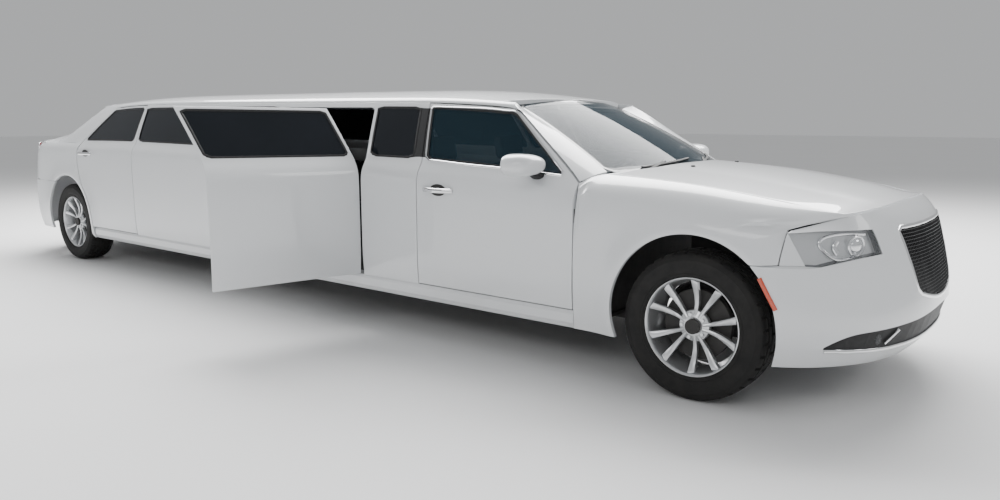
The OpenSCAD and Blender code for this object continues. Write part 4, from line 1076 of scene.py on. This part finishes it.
# %% Gloss-black posts
def span_at(loop, z):
    """Smallest and largest x of an outline at a height."""
    spots = []
    for a, b in zip(loop, loop[1:] + loop[:1]):
        if (a.z - z) * (b.z - z) <= 0 and a.z != b.z:
            spots.append(a.lerp(b, (z - a.z) / (b.z - a.z)).x)
    return (min(spots), max(spots)) if spots else None


POST_LAP = 0.004
for side in ("left", "right"):
    front_loop = pane_loops("front_door_glass_" + side)[0][0]
    side_loops = sorted(pane_loops("side_glass_" + side)[0], key=lambda loop: -max(p.x for p in loop))
    low_z = min(p.z for p in front_loop) - 0.030
    high_z = max(p.z for p in side_loops[0]) + 0.006
    for node in ("front_door_" + side, "side_panel_" + side):
        made = skins[node]
        made.data.materials.append(gloss_black.material)
        for face in made.data.polygons:
            c = face.center
            z = min(max(c.z, low_z + 0.045), high_z - 0.02)
            ahead, behind = span_at(front_loop, z), span_at(side_loops[0], z)
            if ahead and behind and low_z + 0.02 < c.z < high_z:
                between = behind[1] - POST_LAP < c.x < ahead[0] + POST_LAP
                face.material_index = 1 if between else face.material_index
print("posts blackened")

# %% [markdown]
# ## Windscreen fittings
# The windscreen has a printed black border that hides its glue, and two wipers
# that rest along its foot. Two washer nozzles sit on the hood.

# %% Windscreen border, wipers and nozzles
screen = cells_of("windscreen")
screen_faces = [f for f in screen.faces if f.normal.x > 0.25 and f.normal.z > 0.1]
loop = outlines(screen, screen_faces)[0]
screen.free()
middle = sum(loop, Vector()) / len(loop)
outward = Vector((0.45, 0, 0.89))
border = bmesh.new()
ring = [p + (middle - p).normalized() * 0.022 + outward * 0.0015 for p in loop]
sweep(border, smooth_path(ring, True, 1), 0.050, 0.003, outward, closed=True)
piece("windscreen_border", border, gloss_black, body_of("windscreen"))
WIPER_FOOT_Z = 1.062
screen_tree = trees("windscreen")
arms = bmesh.new()
for y0, y1 in ((0.10, 0.64), (-0.46, 0.05)):
    starts = [(FRONT_X, y0 + (y1 - y0) * t, WIPER_FOOT_Z + 0.030 * t) for t in (0, 0.2, 0.4, 0.6, 0.8, 1)]
    blade = dropped(screen_tree, starts, BACK, 0.012)
    if len(blade) > 2:
        sweep(arms, smooth_path(blade), 0.016, 0.012, outward)
        arm = [blade[0] + Vector((0.050, -0.02, -0.012)), blade[0].lerp(blade[-1], 0.45) + outward * 0.010]
        sweep(arms, arm, 0.018, 0.010, outward)
piece("wipers", arms, moulded, body_of("windscreen"))
hood_tree = trees("hood")
nozzles = bmesh.new()
hood_rear_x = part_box("hood")[0][0]
for side in (-1, 1):
    spot = drop(hood_tree, (hood_rear_x + 0.26, side * 0.300, 2), (0, 0, -1), 0.002)
    ball(nozzles, spot, (0.012, 0.016, 0.006), segments=16)
piece("washer_nozzles", nozzles, moulded, body_of("hood"))
print("screen fittings")

# %% [markdown]
# ## The tail
# The lid carries a bright strip above the plate, and the bumper a thin bright strip
# and a dark lower insert. All three run level across the tail, so one function
# makes them.

# %% Strips across the tail
tail_tree = trees("trunk_lid", "rear_bumper", "tail_lights", "rear_quarter_left", "rear_quarter_right")


def tail_strip(name, node, finish, half, z, off, section, count=24, sides=8):
    """A level strip across the tail, dropped onto its panels."""
    shape = bmesh.new()
    starts = [(REAR_X, half * k / count, z) for k in range(-count, count + 1)]
    sweep(shape, dropped(tail_tree, starts, AHEAD, off), *section, BACK, sides=sides)
    piece(name, shape, finish, body_of(node))


tail_strip("lid_strip", "trunk_lid", bright, 0.36, 0.800, 0.004, (0.026, 0.012), count=12, sides=10)
tail_strip("bumper_strip", "rear_bumper", bright, 0.80, 0.400, 0.004, (0.012, 0.008))
tail_strip("rear_insert", "rear_bumper", moulded, 0.72, 0.318, 0.002, (0.070, 0.008), sides=12)
print("tail strips")

# %% [markdown]
# A bright line runs round each tail lamp, along the outline of its own faces. The
# exhaust tips are short turned pipes that are open at the back.

# %% Lamp edges and exhaust tips
lamps = cells_of("tail_lights")
tail_faces = [f for f in lamps.faces if f.normal.x < -0.15 and f.calc_area() > 4e-4]
edging = bmesh.new()
for loop in outlines(lamps, tail_faces):
    if len(loop) > 7:
        side = 1 if loop[0].y > 0 else -1
        path = [p + Vector((-0.003, side * 0.002, 0)) for p in loop]
        sweep(edging, smooth_path(path, True, 1), 0.009, 0.007, (-0.9, side * 0.4, 0), closed=True)
lamps.free()
piece("tail_lamp_edges", edging, bright, body_of("tail_lights"))
TIP = [(0.036, 0.0), (0.0405, 0.002), (0.0415, 0.010), (0.0415, 0.075), (0.034, 0.078), (0.034, 0.006)]
TIP_Y, TIP_Z = 0.520, 0.222
tips = bmesh.new()
pipe_end_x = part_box("exhaust")[0][0]
for side in (-1, 1):
    ring = spun(TIP, 40)
    place = Matrix.Translation((pipe_end_x - 0.002, side * TIP_Y, TIP_Z)) @ Matrix.Rotation(-pi / 2, 4, "Z")
    bmesh.ops.transform(ring, verts=ring.verts, matrix=place)
    add_part(tips, ring)
piece("exhaust_tips", tips, bright, body_of("exhaust"))
print("tail details")

# %% [markdown]
# ## Finishes for the nodes that stay
# Structure that is hardly seen keeps its CAD shape and takes a finish of its own.

# %% CAD nodes that stay
CORNERS = [end + "_" + side for end in ("front", "rear") for side in ("left", "right")]
KEPT = {chassis: ["floor_pan", "frame_rails", "firewall", "front_suspension", "rear_axle", "engine_block",
                  "hinges", "steering_knuckle_left", "steering_knuckle_right"],
        paint: ["sills"],
        steel: ["exhaust"],
        moulded: ["grille"],
        lining: ["dashboard", "steering_wheel", "partition"],
        veneer: ["bar_cabinet"],
        ruby: ["tail_lights"],
        bright: ["number_plate"],
        rubber: ["tyre_" + corner for corner in CORNERS],
        alloy: ["rim_" + corner for corner in CORNERS]}
for finish, nodes in KEPT.items():
    for node in nodes:
        data = frame["nodes"][node].data
        data.materials.clear()
        data.materials.append(finish.material)
print("kept", sum(len(nodes) for nodes in KEPT.values()), "nodes")

# %% [markdown]
# ## The studio
# A pale floor that runs out of sight, an even pale sky, and three large soft lamps.
# Large lamps give wide, gentle highlights on the paint.

# %% Floor, sky and lamps
ground = bmesh.new()
bmesh.ops.create_grid(ground, x_segments=8, y_segments=8, size=60)
ground_finish = Finish("studio_floor")
ground_finish.shades(ground_finish.noise(0.4), (0.84, 0.84, 0.84), (0.88, 0.88, 0.88))
ground_finish.feed("Roughness", 0.8 + ground_finish.noise(3) * 0.1)
floor = piece("floor", ground, ground_finish)
floor.parent = None

sky = bpy.data.worlds.new("sky")
sky.use_nodes = True
sky.node_tree.nodes["Background"].inputs["Color"].default_value = (0.97, 0.985, 1.0, 1)
sky.node_tree.nodes["Background"].inputs["Strength"].default_value = 0.50
scene.world = sky


def soft_lamp(name, size, power, place, target):
    """A large rectangular lamp that faces a point."""
    light = bpy.data.lights.new(name, "AREA")
    light.shape = "RECTANGLE"
    light.size, light.size_y = size
    light.energy = power
    lamp = bpy.data.objects.new(name, light)
    lamp.location = place
    lamp.rotation_euler = (Vector(target) - Vector(place)).to_track_quat("-Z", "Y").to_euler()
    scene.collection.objects.link(lamp)


soft_lamp("overhead", (13, 5), 2400, (-1.5, 3.2, 6.0), (0, 0.3, 0))
soft_lamp("side", (7, 2), 130, (3, -8.5, 5.0), (0.5, 0, 0.6))
soft_lamp("front", (3, 2), 70, (9, 1.5, 4.5), (3, 0, 0.6))
print("studio lit")
